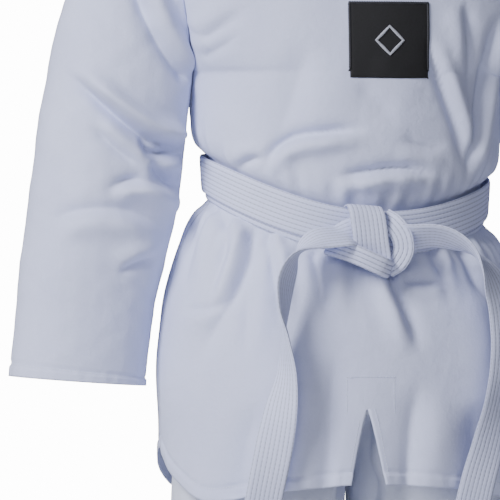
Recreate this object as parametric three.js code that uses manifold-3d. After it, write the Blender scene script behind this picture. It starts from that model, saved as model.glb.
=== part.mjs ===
// Martial arts uniform: pullover jacket, double-wrapped knotted belt and trousers, hanging as worn.
// Millimetres. +Z is up, the front faces -Y, the wearer's left is +X.
// The origin is the middle of the neck base, level with the neck ends of the shoulder seams.
import * as THREE from 'three';
import { mergeVertices } from 'three/addons/utils/BufferGeometryUtils.js';
import Module from 'manifold-3d';

const wasm = await Module();
wasm.setup();

// ---------------------------------------------------------------- driving dimensions
const CLOTH = 2.5; // wall of a cloth panel
const SEAM = 0.4; // gap between two pieces that are sewn or pressed together
const RAD = Math.PI / 180;
const HANDS = [['right', -1], ['left', 1]]; // the wearer's hands and their sign along X
const FACES = [['front', -1], ['back', 1]]; // the two faces of the body and their sign along Y

const NECK_HALF = 104; // neck edge to the middle, along the shoulder line
const NECK_DEPTH = 162; // depth of the V at the front
const NECK_BACK_DROP = 8;
const SHOULDER = { x: 213, z: -50 }; // top of the armhole
const ARMPIT = { x: 172, z: -250 };
const ARMHOLE = { front: 45, back: 50 }; // how far the armhole opens to the front and the back
const SHOULDER_ROUND = 150; // height over which the shoulder rounds into the chest

const WAIST = { x: 150, y: 107 }; // cloth under the belt
const BELT_WIDTH = 40;
const BELT_THICK = 4;
const BELT_BACK_Z = -370;
const BELT_FRONT_DROP = 54; // the belt sits lower at the front than at the back
const BELT_ROLL = 10.5; // and a little lower on the wearer's left
const BELT_LAYER_SHIFT = 4; // the two wraps are this far above and below each other
const BELT_CLEAR = 26; // the waist cloth is flat this far above and below the belt line

const SLIT = { top: -618, bottom: -725, half: 30 };
const PATCH = { left: -23, right: 64, low: -258, high: -178, thick: 1.2, lift: 0.6 };
const MOTIF = { half: 14, thick: 0.8 };
const STAY = { left: -27, right: 27, low: -614, high: -576, side: -1, lift: -CLOTH - 2.4, thick: 1.2 };
const LABEL = { left: -22, right: 22, low: -72, high: -42, side: 1, lift: -CLOTH - 4, thick: 0.8 };
const COLLAR = { width: 28, thick: 3, standUp: 15, middleGap: 0.3, offCloth: 1, sewnRise: 1.2 };

// Blocks of the knot: middle of the rear face, size and turn in degrees.
const KNOT = {
  core: { x: 1, y: -117.4, z: -422, width: 40, height: 38, thick: 9, turn: 0 },
  front_band: { x: -4, y: -127, z: -420, width: 40, height: 42, thick: 11, turn: 4 },
  lower_loop: { x: -8, y: -121, z: -461, width: 58, height: 17, thick: 15, turn: -14 },
  right_loop: { x: 35, y: -118.5, z: -435, width: 17, height: 46, thick: 15, turn: 0 },
};
const KNOT_BEVEL = 2;
const WRAP_LIFT = 0.8; // the inner wrap stands this far off the cloth

const TROUSERS = { crotch: -665, closing: -560, knee: -930, kneeGap: 1.2, hem: -1360, wall: 2.2 };
const WAISTBAND = { low: -24, high: 12, thick: 2.5 };
const ELASTIC = { low: -18, high: 6, thick: 1.8, behind: 5 };
const EYELET = { x: 16, drop: 12, inner: 2.8, outer: 5, thick: 0.8, hole: 2.6 };

const COLOURS = {
  cloth: 0xd6dbec,
  sleeve: 0xd9deef,
  stay: 0xc4cadf,
  belt: 0xc9cfe8,
  patch: 0x24262e,
  motif: 0xb9bcc6,
  label: 0xe9e9ec,
  elastic: 0xe4e4e0,
  metal: 0xc8c8cc,
};

// ---------------------------------------------------------------- outlines
/** Straight-line curve through [position, value] pairs, held flat past both ends. */
function curve(pairs) {
  return (at) => {
    if (at <= pairs[0][0]) return pairs[0][1];
    for (let i = 1; i < pairs.length; i += 1) {
      const [a, low] = pairs[i - 1];
      const [b, high] = pairs[i];
      if (at <= b) return THREE.MathUtils.mapLinear(at, a, b, low, high);
    }
    return pairs[pairs.length - 1][1];
  };
}

// Half width and half depths of the jacket, by height above the belt line.
const belowArmWidth = curve([
  [-285, 205], [-200, 208], [-150, 203], [-95, 190], [-60, 178], [-38, 163],
  [-BELT_CLEAR, WAIST.x + 0.6], [0, WAIST.x], [BELT_CLEAR, WAIST.x + 0.6],
  [36, 163], [55, 169], [85, 171], [130, 172],
]);
const frontDepth = curve([
  [-285, 142], [-200, 141], [-150, 137], [-95, 129], [-60, 122], [-38, 115],
  [-BELT_CLEAR, WAIST.y + 0.5], [0, WAIST.y], [BELT_CLEAR, WAIST.y + 0.5],
  [36, 115], [55, 122], [85, 126], [130, 127],
]);
const backDepth = curve([
  [-285, 138], [-200, 137], [-150, 134], [-95, 127], [-60, 121], [-38, 115],
  [-BELT_CLEAR, WAIST.y + 0.5], [0, WAIST.y], [BELT_CLEAR, WAIST.y + 0.5],
  [36, 114], [55, 118], [85, 120], [130, 120],
]);
const upperDepth = curve([[-250, 1], [-170, 0.96], [-100, 0.9], [0, 0.8]]);
const frontHem = curve([[0, -690], [30, -699], [55, -711], [75, -684], [90, -657]]);
const backHem = curve([[0, -702], [55, -706], [75, -684], [90, -657]]);

// Directions of the cut columns, in radians from the middle of the front or the back.
const NECK_ANGLE = Math.asin(NECK_HALF / SHOULDER.x);
const halfColumns = [];
for (let i = 0; i <= 3; i += 1) halfColumns.push((NECK_ANGLE * i) / 3);
for (let i = 1; i <= 5; i += 1) halfColumns.push(NECK_ANGLE + ((90 * RAD - NECK_ANGLE) * i) / 5);
const COLUMNS = [...halfColumns.slice(1).reverse().map((a) => -a), ...halfColumns];

/** Height of the belt's middle line. side is -1 at the front and +1 at the back. */
function beltHeight(angle, side) {
  const forward = (1 - side * Math.cos(angle)) / 2;
  return BELT_BACK_Z - BELT_FRONT_DROP * forward ** 3.3 - BELT_ROLL * Math.sin(angle);
}

function halfWidth(z, belt) {
  if (z <= ARMPIT.z) return belowArmWidth(z - belt);
  if (z >= SHOULDER.z) return SHOULDER.x;
  return THREE.MathUtils.mapLinear(z, ARMPIT.z, SHOULDER.z, ARMPIT.x, SHOULDER.x);
}

function shoulderLine(x) {
  const past = Math.max(0, Math.abs(x) - NECK_HALF);
  return (SHOULDER.z * past) / (SHOULDER.x - NECK_HALF);
}

/** How far the armhole edge lies from the side line, as half an ellipse. */
function armholeDepth(z, side) {
  const middle = (SHOULDER.z + ARMPIT.z) / 2;
  const reach = (SHOULDER.z - ARMPIT.z) / 2;
  const along = (z - middle) / reach;
  if (Math.abs(along) >= 1) return 0;
  return (side < 0 ? ARMHOLE.front : ARMHOLE.back) * Math.sqrt(1 - along * along);
}

/** A point of the jacket's body, moved inward by inset. */
function torsoPoint(angle, z, side, inset) {
  const belt = beltHeight(angle, side);
  const x = (halfWidth(z, belt) - inset) * Math.sin(angle);
  const below = (shoulderLine(x) - inset - z) / SHOULDER_ROUND;
  const rise = Math.sqrt(1 - (1 - THREE.MathUtils.clamp(below, 0, 1)) ** 2);
  const full = (side < 0 ? frontDepth : backDepth)(z - belt) * upperDepth(z) - inset;
  const edge = armholeDepth(z, side);
  const y = edge + (full * rise - edge) * Math.cos(angle) ** 0.9;
  return [x, side * (SEAM / 2 + y), z];
}

/** The same surface by x instead of direction. */
function torsoPointAt(x, z, side, inset) {
  let angle = 0;
  for (let i = 0; i < 12; i += 1) {
    angle = Math.asin(x / (halfWidth(z, beltHeight(angle, side)) - inset));
  }
  return torsoPoint(angle, z, side, inset);
}

/** Top edge of the front or back panel in one column: shoulder seam or neckline. */
function topEdge(angle, side) {
  let z = 0;
  for (let i = 0; i < 12; i += 1) {
    const x = Math.abs(halfWidth(z, 0) * Math.sin(angle));
    if (x >= NECK_HALF - 0.01) z = shoulderLine(x);
    else if (side < 0) z = -NECK_DEPTH * (1 - x / NECK_HALF);
    else z = -NECK_BACK_DROP * (1 - (x / NECK_HALF) ** 2);
  }
  return z;
}

// ---------------------------------------------------------------- solids
const group = new THREE.Group();

function addMesh(name, geometry, colour, roughness = 0.9, metalness = 0) {
  const material = new THREE.MeshStandardMaterial({ color: colour, roughness, metalness });
  const mesh = new THREE.Mesh(geometry, material);
  mesh.name = name;
  group.add(mesh);
  return mesh;
}

function signedVolume(points, triangles) {
  let sum = 0;
  for (let i = 0; i < triangles.length; i += 3) {
    const a = new THREE.Vector3(...points[triangles[i]]);
    const b = new THREE.Vector3(...points[triangles[i + 1]]);
    const c = new THREE.Vector3(...points[triangles[i + 2]]);
    sum += a.dot(b.cross(c));
  }
  return sum / 6;
}

/**
 * Closed solid between an outer and an inner grid of points with the same rows and columns.
 * ring joins the last column to the first.
 */
function shell(outer, inner, ring = false) {
  const rows = outer.length;
  const columns = outer[0].length;
  const points = [...outer.flat(), ...inner.flat()];
  const skin = rows * columns;
  const triangles = [];
  const quad = (a, b, c, d) => triangles.push(a, b, c, a, c, d);
  const spans = ring ? columns : columns - 1;
  for (let r = 0; r < rows - 1; r += 1) {
    for (let c = 0; c < spans; c += 1) {
      const next = (c + 1) % columns;
      const a = r * columns + c;
      const b = r * columns + next;
      const d = (r + 1) * columns + c;
      const e = (r + 1) * columns + next;
      quad(a, b, e, d);
      quad(skin + a, skin + d, skin + e, skin + b);
    }
  }
  for (let c = 0; c < spans; c += 1) {
    const next = (c + 1) % columns;
    const top = (rows - 1) * columns;
    quad(c, skin + c, skin + next, next);
    quad(top + c, top + next, skin + top + next, skin + top + c);
  }
  if (!ring) {
    for (let r = 0; r < rows - 1; r += 1) {
      const a = r * columns;
      const b = a + columns;
      quad(a, b, skin + b, skin + a);
      quad(a + columns - 1, skin + a + columns - 1, skin + b + columns - 1, b + columns - 1);
    }
  }
  if (signedVolume(points, triangles) < 0) triangles.reverse();
  const geometry = new THREE.BufferGeometry();
  geometry.setAttribute('position', new THREE.Float32BufferAttribute(points.flat(), 3));
  geometry.setIndex(triangles);
  return geometry;
}

/** Grid of points from a function of row and column values. */
function grid(rowValues, columnValues, point) {
  return rowValues.map((row) => columnValues.map((column) => point(row, column)));
}

/** Strip of even thickness between two edges; the thickness goes to the inner side. */
function strip(edgeA, edgeB, thickness) {
  const a = edgeA.map((p) => new THREE.Vector3(...p));
  const b = edgeB.map((p) => new THREE.Vector3(...p));
  const last = a.length - 1;
  const outer = [];
  const inner = [];
  a.forEach((point, i) => {
    const before = Math.max(0, i - 1);
    const after = Math.min(last, i + 1);
    const along = a[after].clone().add(b[after]).sub(a[before]).sub(b[before]);
    const across = b[i].clone().sub(point);
    const normal = along.cross(across).normalize().multiplyScalar(thickness);
    outer.push([point.toArray(), b[i].toArray()]);
    inner.push([point.clone().sub(normal).toArray(), b[i].clone().sub(normal).toArray()]);
  });
  return shell(outer, inner);
}

function toManifold(geometry) {
  const plain = geometry.clone();
  plain.deleteAttribute('normal');
  plain.deleteAttribute('uv');
  const merged = mergeVertices(plain, 1e-4);
  return new wasm.Manifold(new wasm.Mesh({
    numProp: 3,
    vertProperties: new Float32Array(merged.attributes.position.array),
    triVerts: new Uint32Array(merged.index.array),
  }));
}

function fromManifold(solid) {
  const mesh = solid.getMesh();
  const geometry = new THREE.BufferGeometry();
  geometry.setAttribute('position', new THREE.BufferAttribute(mesh.vertProperties, 3));
  geometry.setIndex(new THREE.BufferAttribute(mesh.triVerts, 1));
  return geometry;
}

function cut(geometry, tools) {
  let solid = toManifold(geometry);
  tools.forEach((tool) => {
    solid = solid.subtract(toManifold(tool));
  });
  return fromManifold(solid);
}

// ---------------------------------------------------------------- jacket body
const SKIRT_STEPS = [-215, -150, -95, -60, -38, -BELT_CLEAR];
const BODICE_STEPS = [0, BELT_CLEAR, 36, 55, 85];
const UPPER_ROWS = 7;

/** Heights of all rows of one column: the hem if any, the steps above the belt, then up to the top edge. */
function columnHeights(angle, side, steps, hemCurve, reachTop, inset) {
  const belt = beltHeight(angle, side);
  const heights = steps.map((step) => belt + step);
  if (hemCurve !== null) heights.unshift(hemCurve(Math.abs(angle) / RAD));
  if (!reachTop) return heights;
  const low = heights[heights.length - 1];
  const high = topEdge(angle, side) - inset;
  for (let i = 1; i <= UPPER_ROWS; i += 1) {
    heights.push(low + (high - low) * (1 - (1 - i / UPPER_ROWS) ** 1.8));
  }
  return heights;
}

function torsoGrid(side, steps, hemCurve, reachTop, inset) {
  const byColumn = COLUMNS.map(
    (angle) => columnHeights(angle, side, steps, hemCurve, reachTop, inset),
  );
  return byColumn[0].map((_, row) => COLUMNS.map(
    (angle, column) => torsoPoint(angle, byColumn[column][row], side, inset),
  ));
}

function torsoShell(side, steps, hemCurve, reachTop) {
  return shell(
    torsoGrid(side, steps, hemCurve, reachTop, 0),
    torsoGrid(side, steps, hemCurve, reachTop, CLOTH),
  );
}

function slitWedge() {
  const outline = new THREE.Shape();
  outline.moveTo(0, SLIT.top);
  outline.lineTo(-SLIT.half, SLIT.bottom);
  outline.lineTo(SLIT.half, SLIT.bottom);
  outline.closePath();
  const wedge = new THREE.ExtrudeGeometry(outline, { depth: 100, bevelEnabled: false });
  return wedge.rotateX(90 * RAD).translate(0, -90, 0);
}

function buildJacketBody() {
  const front = torsoShell(-1, [...SKIRT_STEPS, ...BODICE_STEPS], frontHem, true);
  addMesh('front_panel', cut(front, [slitWedge()]), COLOURS.cloth);
  addMesh('back_panel', torsoShell(1, [-BELT_CLEAR, ...BODICE_STEPS], null, true), COLOURS.cloth);
  const skirtSteps = [...SKIRT_STEPS.slice(0, -1), -BELT_CLEAR - 2 * SEAM];
  addMesh('back_skirt', torsoShell(1, skirtSteps, backHem, false), COLOURS.cloth);
}

/** Thin piece sewn flat on the body between four borders; positive lift is outside. */
function layer({ left, right, low, high, side, lift, thick }) {
  const columns = [0, 0.25, 0.5, 0.75, 1].map((k) => THREE.MathUtils.lerp(left, right, k));
  const rows = [0, 0.5, 1].map((k) => THREE.MathUtils.lerp(low, high, k));
  const outer = grid(rows, columns, (z, x) => torsoPointAt(x, z, side, -lift - thick));
  const inner = grid(rows, columns, (z, x) => torsoPointAt(x, z, side, -lift));
  return shell(outer, inner);
}

function buildSewnPieces() {
  addMesh('chest_patch', layer({ ...PATCH, side: -1 }), COLOURS.patch, 0.8);
  const middle = { x: (PATCH.left + PATCH.right) / 2, z: (PATCH.low + PATCH.high) / 2 };
  const motif = {
    left: middle.x - MOTIF.half,
    right: middle.x + MOTIF.half,
    low: middle.z - MOTIF.half,
    high: middle.z + MOTIF.half,
    side: -1,
    lift: PATCH.lift + PATCH.thick + SEAM,
    thick: MOTIF.thick,
  };
  addMesh('patch_motif', layer(motif), COLOURS.motif, 0.7);
  addMesh('slit_stay', layer(STAY), COLOURS.stay);
  addMesh('neck_label', layer(LABEL), COLOURS.label);
}

/** Edges of the collar along the V of the front: sewn edge and free edge at k of the way up. */
function collarFront(hand, k) {
  const tilt = Math.atan2(NECK_HALF, NECK_DEPTH);
  const x = NECK_HALF * k;
  const z = -NECK_DEPTH * (1 - k) + COLLAR.sewnRise;
  const freeX = Math.max(COLLAR.middleGap, x - COLLAR.width * Math.cos(tilt));
  const onFree = (freeX + COLLAR.width / Math.cos(tilt)) / NECK_HALF;
  const rise = freeX > COLLAR.middleGap ? COLLAR.width * Math.sin(tilt) * 0.1 : 0;
  const freeZ = Math.max(z, -NECK_DEPTH * (1 - onFree)) + rise;
  const sewnX = Math.max(COLLAR.middleGap, x - 1);
  const [freeAtX, freeAtY] = torsoPointAt(hand * freeX, Math.min(freeZ, -2), -1, -COLLAR.offCloth);
  return {
    sewn: torsoPointAt(hand * sewnX, z, -1, -COLLAR.offCloth),
    free: [freeAtX, freeAtY, freeZ],
  };
}

/** Edges of the collar behind the neck, from the shoulder (0) to the middle of the back (1). */
function collarBack(hand, k) {
  const turn = k * 90 * RAD;
  const x = Math.max(COLLAR.middleGap, (NECK_HALF - 4) * Math.cos(turn));
  const y = 6 + 28 * Math.sin(turn);
  const z = -NECK_BACK_DROP * (1 - (x / NECK_HALF) ** 2) + 4;
  return {
    sewn: [hand * x, y, z],
    free: [hand * Math.max(COLLAR.middleGap, x * 0.74), y * 0.8, z + COLLAR.standUp],
  };
}

/** Folded band round the neckline in two halves, mitred at the V and joined behind the neck. */
function buildCollar() {
  HANDS.forEach(([word, hand]) => {
    const stations = [
      ...[0.02, 0.25, 0.5, 0.75, 0.97].map((k) => collarFront(hand, k)),
      ...[0, 0.3, 0.65, 1].map((k) => collarBack(hand, k)),
    ];
    const sewn = stations.map((station) => station.sewn);
    const free = stations.map((station) => station.free);
    const geometry = hand < 0 ? strip(sewn, free, COLLAR.thick) : strip(free, sewn, COLLAR.thick);
    addMesh(`collar_${word}`, geometry, COLOURS.stay);
  });
}

// ---------------------------------------------------------------- sleeves
// Stations from the armhole to the cuff: outer x, z; inner x, z; half depth; middle y.
const SLEEVE_STATIONS = [
  { outer: [213.6, -50], inner: [172.6, -250], depth: 46, y: 0 },
  { outer: [268, -108], inner: [174, -276], depth: 56, y: 3 },
  { outer: [308, -170], inner: [177, -312], depth: 62, y: 7 },
  { outer: [325, -236], inner: [180, -352], depth: 64, y: 10 },
  { outer: [339, -319], inner: [186, -400], depth: 63, y: 12 },
  { outer: [350, -400], inner: [199, -456], depth: 61, y: 14 },
  { outer: [361, -505], inner: [213, -524], depth: 59, y: 16 },
  { outer: [368, -579], inner: [219, -590], depth: 57, y: 17 },
];
const SLEEVE_SIDES = 16;

function buildSleeves() {
  const turns = Array.from({ length: SLEEVE_SIDES }, (_, i) => (i / SLEEVE_SIDES) * 360 * RAD);
  HANDS.forEach(([word, hand]) => {
    const ring = (inset) => grid(SLEEVE_STATIONS, turns, (station, turn) => {
      const [ox, oz] = station.outer;
      const [ix, iz] = station.inner;
      const half = Math.hypot(ox - ix, oz - iz) / 2;
      const across = (Math.cos(turn) * (half - inset)) / half;
      const x = (ox + ix) / 2 + (across * (ox - ix)) / 2;
      const z = (oz + iz) / 2 + (across * (oz - iz)) / 2;
      return [hand * x, station.y - (station.depth - inset) * Math.sin(turn), z];
    });
    addMesh(`${word}_sleeve`, shell(ring(0), ring(CLOTH), true), COLOURS.sleeve);
  });
}

// ---------------------------------------------------------------- belt
/** Ring that follows the waist: lift from the cloth, thickness and height shift. */
function waistRing(lift, thick, low, high) {
  const around = [
    ...COLUMNS.map((angle) => ({ angle, side: -1 })),
    ...COLUMNS.slice(1, -1).reverse().map((angle) => ({ angle, side: 1 })),
  ];
  const ring = (extra) => grid([low, high], around, (shift, { angle, side }) => {
    const y = (WAIST.y + extra) * Math.cos(angle) ** 0.9 + (SEAM / 2) * Math.cos(angle) ** 0.2;
    return [(WAIST.x + extra) * Math.sin(angle), side * y, beltHeight(angle, side) + shift];
  });
  return shell(ring(lift + thick), ring(lift), true);
}

/** Block with rounded corners, standing in front of the body. */
function knotBlock({ x, y, z, width, height, thick, turn }) {
  const outline = new THREE.Shape();
  const w = width / 2 - KNOT_BEVEL;
  const h = height / 2 - KNOT_BEVEL;
  outline.moveTo(-w, -h);
  outline.lineTo(w, -h);
  outline.lineTo(w, h);
  outline.lineTo(-w, h);
  outline.closePath();
  const block = new THREE.ExtrudeGeometry(outline, {
    depth: thick - 2 * KNOT_BEVEL,
    bevelThickness: KNOT_BEVEL,
    bevelSize: KNOT_BEVEL,
    bevelSegments: 1,
  });
  return block.translate(0, 0, KNOT_BEVEL).rotateZ(turn * RAD).rotateX(90 * RAD).translate(x, y, z);
}

/** Belt tail through stations: middle point and the half-width direction, as [x, y, z]. */
function tail(stations) {
  const middle = new THREE.CatmullRomCurve3(stations.map((s) => new THREE.Vector3(...s.at)));
  const across = new THREE.CatmullRomCurve3(stations.map((s) => new THREE.Vector3(...s.across)));
  const steps = 2 * (stations.length - 1);
  const left = [];
  const right = [];
  for (let i = 0; i <= steps; i += 1) {
    const point = middle.getPoint(i / steps);
    const half = across.getPoint(i / steps).normalize().multiplyScalar(BELT_WIDTH / 2);
    left.push(point.clone().sub(half).toArray());
    right.push(point.clone().add(half).toArray());
  }
  return strip(left, right, BELT_THICK);
}

const RIGHT_TAIL = [
  { at: [-34, -138, -427], across: [0.1, 0.85, 0.5] },
  { at: [-58, -143, -431], across: [0.15, 0.8, 0.55] },
  { at: [-77, -147, -446], across: [0.35, 0.8, 0.4] },
  { at: [-87, -149, -470], across: [0.5, 0.85, 0.1] },
  { at: [-91, -151, -500], across: [0.35, 0.95, 0] },
  { at: [-90, -153, -540], across: [0.05, 1, 0] },
  { at: [-90, -154, -580], across: [-0.4, 0.92, 0] },
  { at: [-97, -153, -615], across: [-0.75, 0.66, 0] },
  { at: [-105, -152, -655], across: [-0.96, 0.28, 0.1] },
  { at: [-114, -151, -700], across: [-1, 0.05, 0.15] },
  { at: [-124, -150, -750], across: [-1, 0, 0.15] },
  { at: [-131, -150, -796], across: [-1, 0, 0.15] },
];
const LEFT_TAIL = [
  { at: [48, -133, -428], across: [0, 0.75, -0.66] },
  { at: [68, -139, -427], across: [0.05, 0.8, -0.6] },
  { at: [95, -140, -436], across: [0.25, 0.8, -0.45] },
  { at: [122, -136, -458], across: [0.6, 0.75, -0.2] },
  { at: [140, -130, -490], across: [0.85, 0.5, 0] },
  { at: [148, -128, -530], across: [0.93, 0.36, 0] },
  { at: [146, -129, -570], across: [0.9, 0.42, -0.05] },
  { at: [137, -133, -610], across: [0.85, 0.5, -0.1] },
  { at: [126, -138, -650], across: [0.93, 0.3, -0.15] },
  { at: [114, -141, -690], across: [0.98, 0.15, -0.18] },
  { at: [102, -143, -740], across: [0.98, 0.1, -0.18] },
  { at: [93, -144, -790], across: [0.98, 0.1, -0.18] },
];

function buildBelt() {
  const half = BELT_WIDTH / 2;
  const outerLift = WRAP_LIFT + BELT_THICK + SEAM;
  const inner = waistRing(WRAP_LIFT, BELT_THICK, -half - BELT_LAYER_SHIFT, half - BELT_LAYER_SHIFT);
  const outer = waistRing(outerLift, BELT_THICK, -half + BELT_LAYER_SHIFT, half + BELT_LAYER_SHIFT);
  addMesh('belt_inner_wrap', inner, COLOURS.belt);
  addMesh('belt_outer_wrap', outer, COLOURS.belt);
  Object.entries(KNOT).forEach(([word, block]) => {
    addMesh(`knot_${word}`, knotBlock(block), COLOURS.belt);
  });
  addMesh('belt_tail_right', tail(RIGHT_TAIL), COLOURS.belt);
  addMesh('belt_tail_left', tail(LEFT_TAIL), COLOURS.belt);
}

// ---------------------------------------------------------------- trousers
const hipWidth = curve([[-620, 172], [-560, 168], [-500, 156], [-450, 146], [-400, 143]]);
const hipDepth = curve([[-640, 114], [-560, 116], [-500, 110], [-450, 103], [-400, 100]]);
const legMiddle = curve([[-1360, 121], [-930, 106], [-714, 97], [-600, 94]]);
const legWidth = curve([[-1360, 80], [-930, 87], [-714, 94], [-600, 91]]);
const legDepth = curve([[-1360, 80], [-930, 86], [-714, 97], [-600, 106]]);
const LEG_ROWS = [-930, -860, -790, -725, -690, -665, -640, -610, -570, -520, -470];

/** Half of one trouser leg above the knee: from the middle seam and inseam (0) to the side seam (1). */
function legPoint(across, z, side, inset) {
  const closed = THREE.MathUtils.smoothstep(-z, -TROUSERS.closing, -TROUSERS.crotch);
  const hipX = (hipWidth(z) - inset) * Math.sin(across * 90 * RAD);
  const hipY = (hipDepth(z) - inset) * Math.cos(across * 90 * RAD);
  const legX = legMiddle(z) - (legWidth(z) - inset) * Math.cos(across * 180 * RAD);
  const legY = (legDepth(z) - inset) * Math.sin(across * 180 * RAD);
  const x = Math.max(SEAM / 2, THREE.MathUtils.lerp(hipX, legX, closed));
  const y = THREE.MathUtils.lerp(hipY, legY, closed);
  return [x, side * (SEAM / 2 + y), z];
}

function buildTrousers() {
  const steps = [0, 0.125, 0.25, 0.375, 0.5, 0.625, 0.75, 0.875, 1];
  const mirror = (points, hand) => points.map((row) => row.map(([x, y, z]) => [hand * x, y, z]));
  HANDS.forEach(([word, hand]) => {
    FACES.forEach(([face, side]) => {
      const rows = (inset) => {
        const body = grid(LEG_ROWS, steps, (z, k) => legPoint(k, z, side, inset));
        const top = steps.map((k) => {
          const angle = hand * k * 90 * RAD;
          const z = beltHeight(angle, side) + WAISTBAND.low - SEAM;
          const [x, y] = legPoint(k, Math.max(z, -400), side, inset);
          return [x, y, z];
        });
        return mirror([...body, top], hand);
      };
      addMesh(`trouser_${face}_${word}`, shell(rows(0), rows(TROUSERS.wall)), COLOURS.cloth);
    });
    const lowerRows = [TROUSERS.hem, -1250, -1140, -1030, TROUSERS.knee - TROUSERS.kneeGap];
    const turns = Array.from({ length: 14 }, (_, i) => (i / 14) * 360 * RAD);
    const ring = (inset) => grid(lowerRows, turns, (z, turn) => [
      hand * (legMiddle(z) + (legWidth(z) - inset) * Math.cos(turn)),
      (legDepth(z) - inset) * Math.sin(turn),
      z,
    ]);
    addMesh(`lower_leg_${word}`, shell(ring(0), ring(TROUSERS.wall), true), COLOURS.cloth);
  });
}

/** Flat metal ring round the waistband's drawcord hole. */
function eyeletRing() {
  const { inner, outer, thick } = EYELET;
  const profile = [[inner, 0], [outer, 0], [outer, thick], [inner, thick], [inner, 0]];
  return new THREE.LatheGeometry(profile.map(([r, y]) => new THREE.Vector2(r, y)), 12);
}

function buildWaistband() {
  const lift = -CLOTH - SEAM - WAISTBAND.thick;
  const band = waistRing(lift, WAISTBAND.thick, WAISTBAND.low, WAISTBAND.high);
  const z = beltHeight(0, -1) - EYELET.drop;
  const y = -WAIST.y - lift + 4 * SEAM;
  const holes = HANDS.map(([word, hand]) => {
    const ring = eyeletRing().translate(hand * EYELET.x, y, z);
    addMesh(`drawcord_eyelet_${word}`, ring, COLOURS.metal, 0.35, 0.9);
    const hole = new THREE.CylinderGeometry(EYELET.hole, EYELET.hole, 20, 12);
    return hole.translate(hand * EYELET.x, -WAIST.y, z);
  });
  addMesh('waistband', cut(band, holes), COLOURS.cloth);
  const elasticLift = lift - SEAM - ELASTIC.behind;
  const elastic = waistRing(elasticLift, ELASTIC.thick, ELASTIC.low, ELASTIC.high);
  addMesh('waist_elastic', elastic, COLOURS.elastic);
}

buildJacketBody();
buildSewnPieces();
buildCollar();
buildSleeves();
buildBelt();
buildTrousers();
buildWaistband();

export default group;
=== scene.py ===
import logging
import math
from dataclasses import dataclass, field
from enum import Enum
from typing import Callable, Sequence

import bmesh
import bpy
import numpy as np
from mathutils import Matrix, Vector


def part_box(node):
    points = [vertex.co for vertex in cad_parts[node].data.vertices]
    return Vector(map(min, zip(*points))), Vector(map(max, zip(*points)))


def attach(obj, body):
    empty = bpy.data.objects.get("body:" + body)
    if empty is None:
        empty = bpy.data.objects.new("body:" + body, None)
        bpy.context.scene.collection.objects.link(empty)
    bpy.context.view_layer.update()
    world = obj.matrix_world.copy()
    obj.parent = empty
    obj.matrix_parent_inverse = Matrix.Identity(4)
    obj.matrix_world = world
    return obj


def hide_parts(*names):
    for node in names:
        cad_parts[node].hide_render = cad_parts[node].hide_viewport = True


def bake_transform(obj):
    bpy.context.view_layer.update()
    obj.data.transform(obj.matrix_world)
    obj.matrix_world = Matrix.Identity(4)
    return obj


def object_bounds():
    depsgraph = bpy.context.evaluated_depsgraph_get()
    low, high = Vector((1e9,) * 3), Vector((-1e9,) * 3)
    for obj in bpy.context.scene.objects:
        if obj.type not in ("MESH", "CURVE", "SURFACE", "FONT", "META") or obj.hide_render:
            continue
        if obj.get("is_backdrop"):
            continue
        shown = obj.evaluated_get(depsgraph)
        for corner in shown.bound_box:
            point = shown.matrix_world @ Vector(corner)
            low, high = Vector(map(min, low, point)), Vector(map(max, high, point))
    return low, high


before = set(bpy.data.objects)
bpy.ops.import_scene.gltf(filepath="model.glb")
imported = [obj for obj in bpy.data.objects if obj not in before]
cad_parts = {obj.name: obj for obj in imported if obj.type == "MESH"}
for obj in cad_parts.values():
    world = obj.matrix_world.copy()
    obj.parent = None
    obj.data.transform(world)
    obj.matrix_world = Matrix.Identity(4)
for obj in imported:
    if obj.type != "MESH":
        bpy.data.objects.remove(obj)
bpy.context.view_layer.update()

LOG = logging.getLogger("uniform")
MM = 0.001
CLOTH_WALL = 1.1
STITCH_LIFT = 0.15
Array = np.ndarray


class Side(Enum):
    """Front or back of the body, as the sign of Y."""

    FRONT = -1
    BACK = 1


class Hand(Enum):
    """The wearer's right or left, as the sign of X."""

    RIGHT = -1
    LEFT = 1

    @property
    def word(self) -> str:
        """The hand as it stands in piece names."""
        return self.name.lower()


# ------------------------------------------------------------------ curves and grids
def smooth_curve(keys: Sequence[tuple[float, float]], at: Array) -> Array:
    """Monotone cubic curve through keys: each slope is the harmonic mean of its neighbours' chords.

    Args:
        keys: (position, value) pairs in rising order of position.
        at: positions to read.

    Returns:
        The values, held flat past both ends.
    """
    xs, ys = (np.array(c, float) for c in zip(*keys))
    step = np.diff(xs)
    chord = np.diff(ys) / step
    product = chord[:-1] * chord[1:]
    total = np.where(np.abs(chord[:-1] + chord[1:]) < 1e-9, 1.0, chord[:-1] + chord[1:])
    inner = np.where(product > 0, 2 * product / total, 0.0)
    slope = np.concatenate([[0.0], inner, [0.0]])
    x = np.clip(at, xs[0], xs[-1])
    i = np.clip(np.searchsorted(xs, x, side="right") - 1, 0, len(step) - 1)
    t = (x - xs[i]) / step[i]
    rise = ys[i + 1] * (3 * t**2 - 2 * t**3) + ys[i] * (1 - 3 * t**2 + 2 * t**3)
    bend = slope[i] * (t - 2 * t**2 + t**3) + slope[i + 1] * (t**3 - t**2)
    return rise + step[i] * bend


def distances(path: Array) -> Array:
    """Distance of each point of a path from its start, along the path."""
    return np.concatenate([[0.0], np.cumsum(np.linalg.norm(np.diff(path, axis=0), axis=1))])


def read_rows(at: Array, run: Array, values: Array) -> Array:
    """Reads rows of three values, known at distances run, at other distances."""
    return np.stack([np.interp(at, run, values[:, k]) for k in range(3)], axis=1)


def unit(vectors: Array) -> Array:
    """The vectors scaled to length one."""
    return vectors / np.linalg.norm(vectors, axis=-1, keepdims=True)


def smoothstep(low: float, high: float, at: Array) -> Array:
    """0 below low, 1 above high and an S curve between them."""
    t = np.clip((at - low) / (high - low), 0, 1)
    return t * t * (3 - 2 * t)


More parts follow.
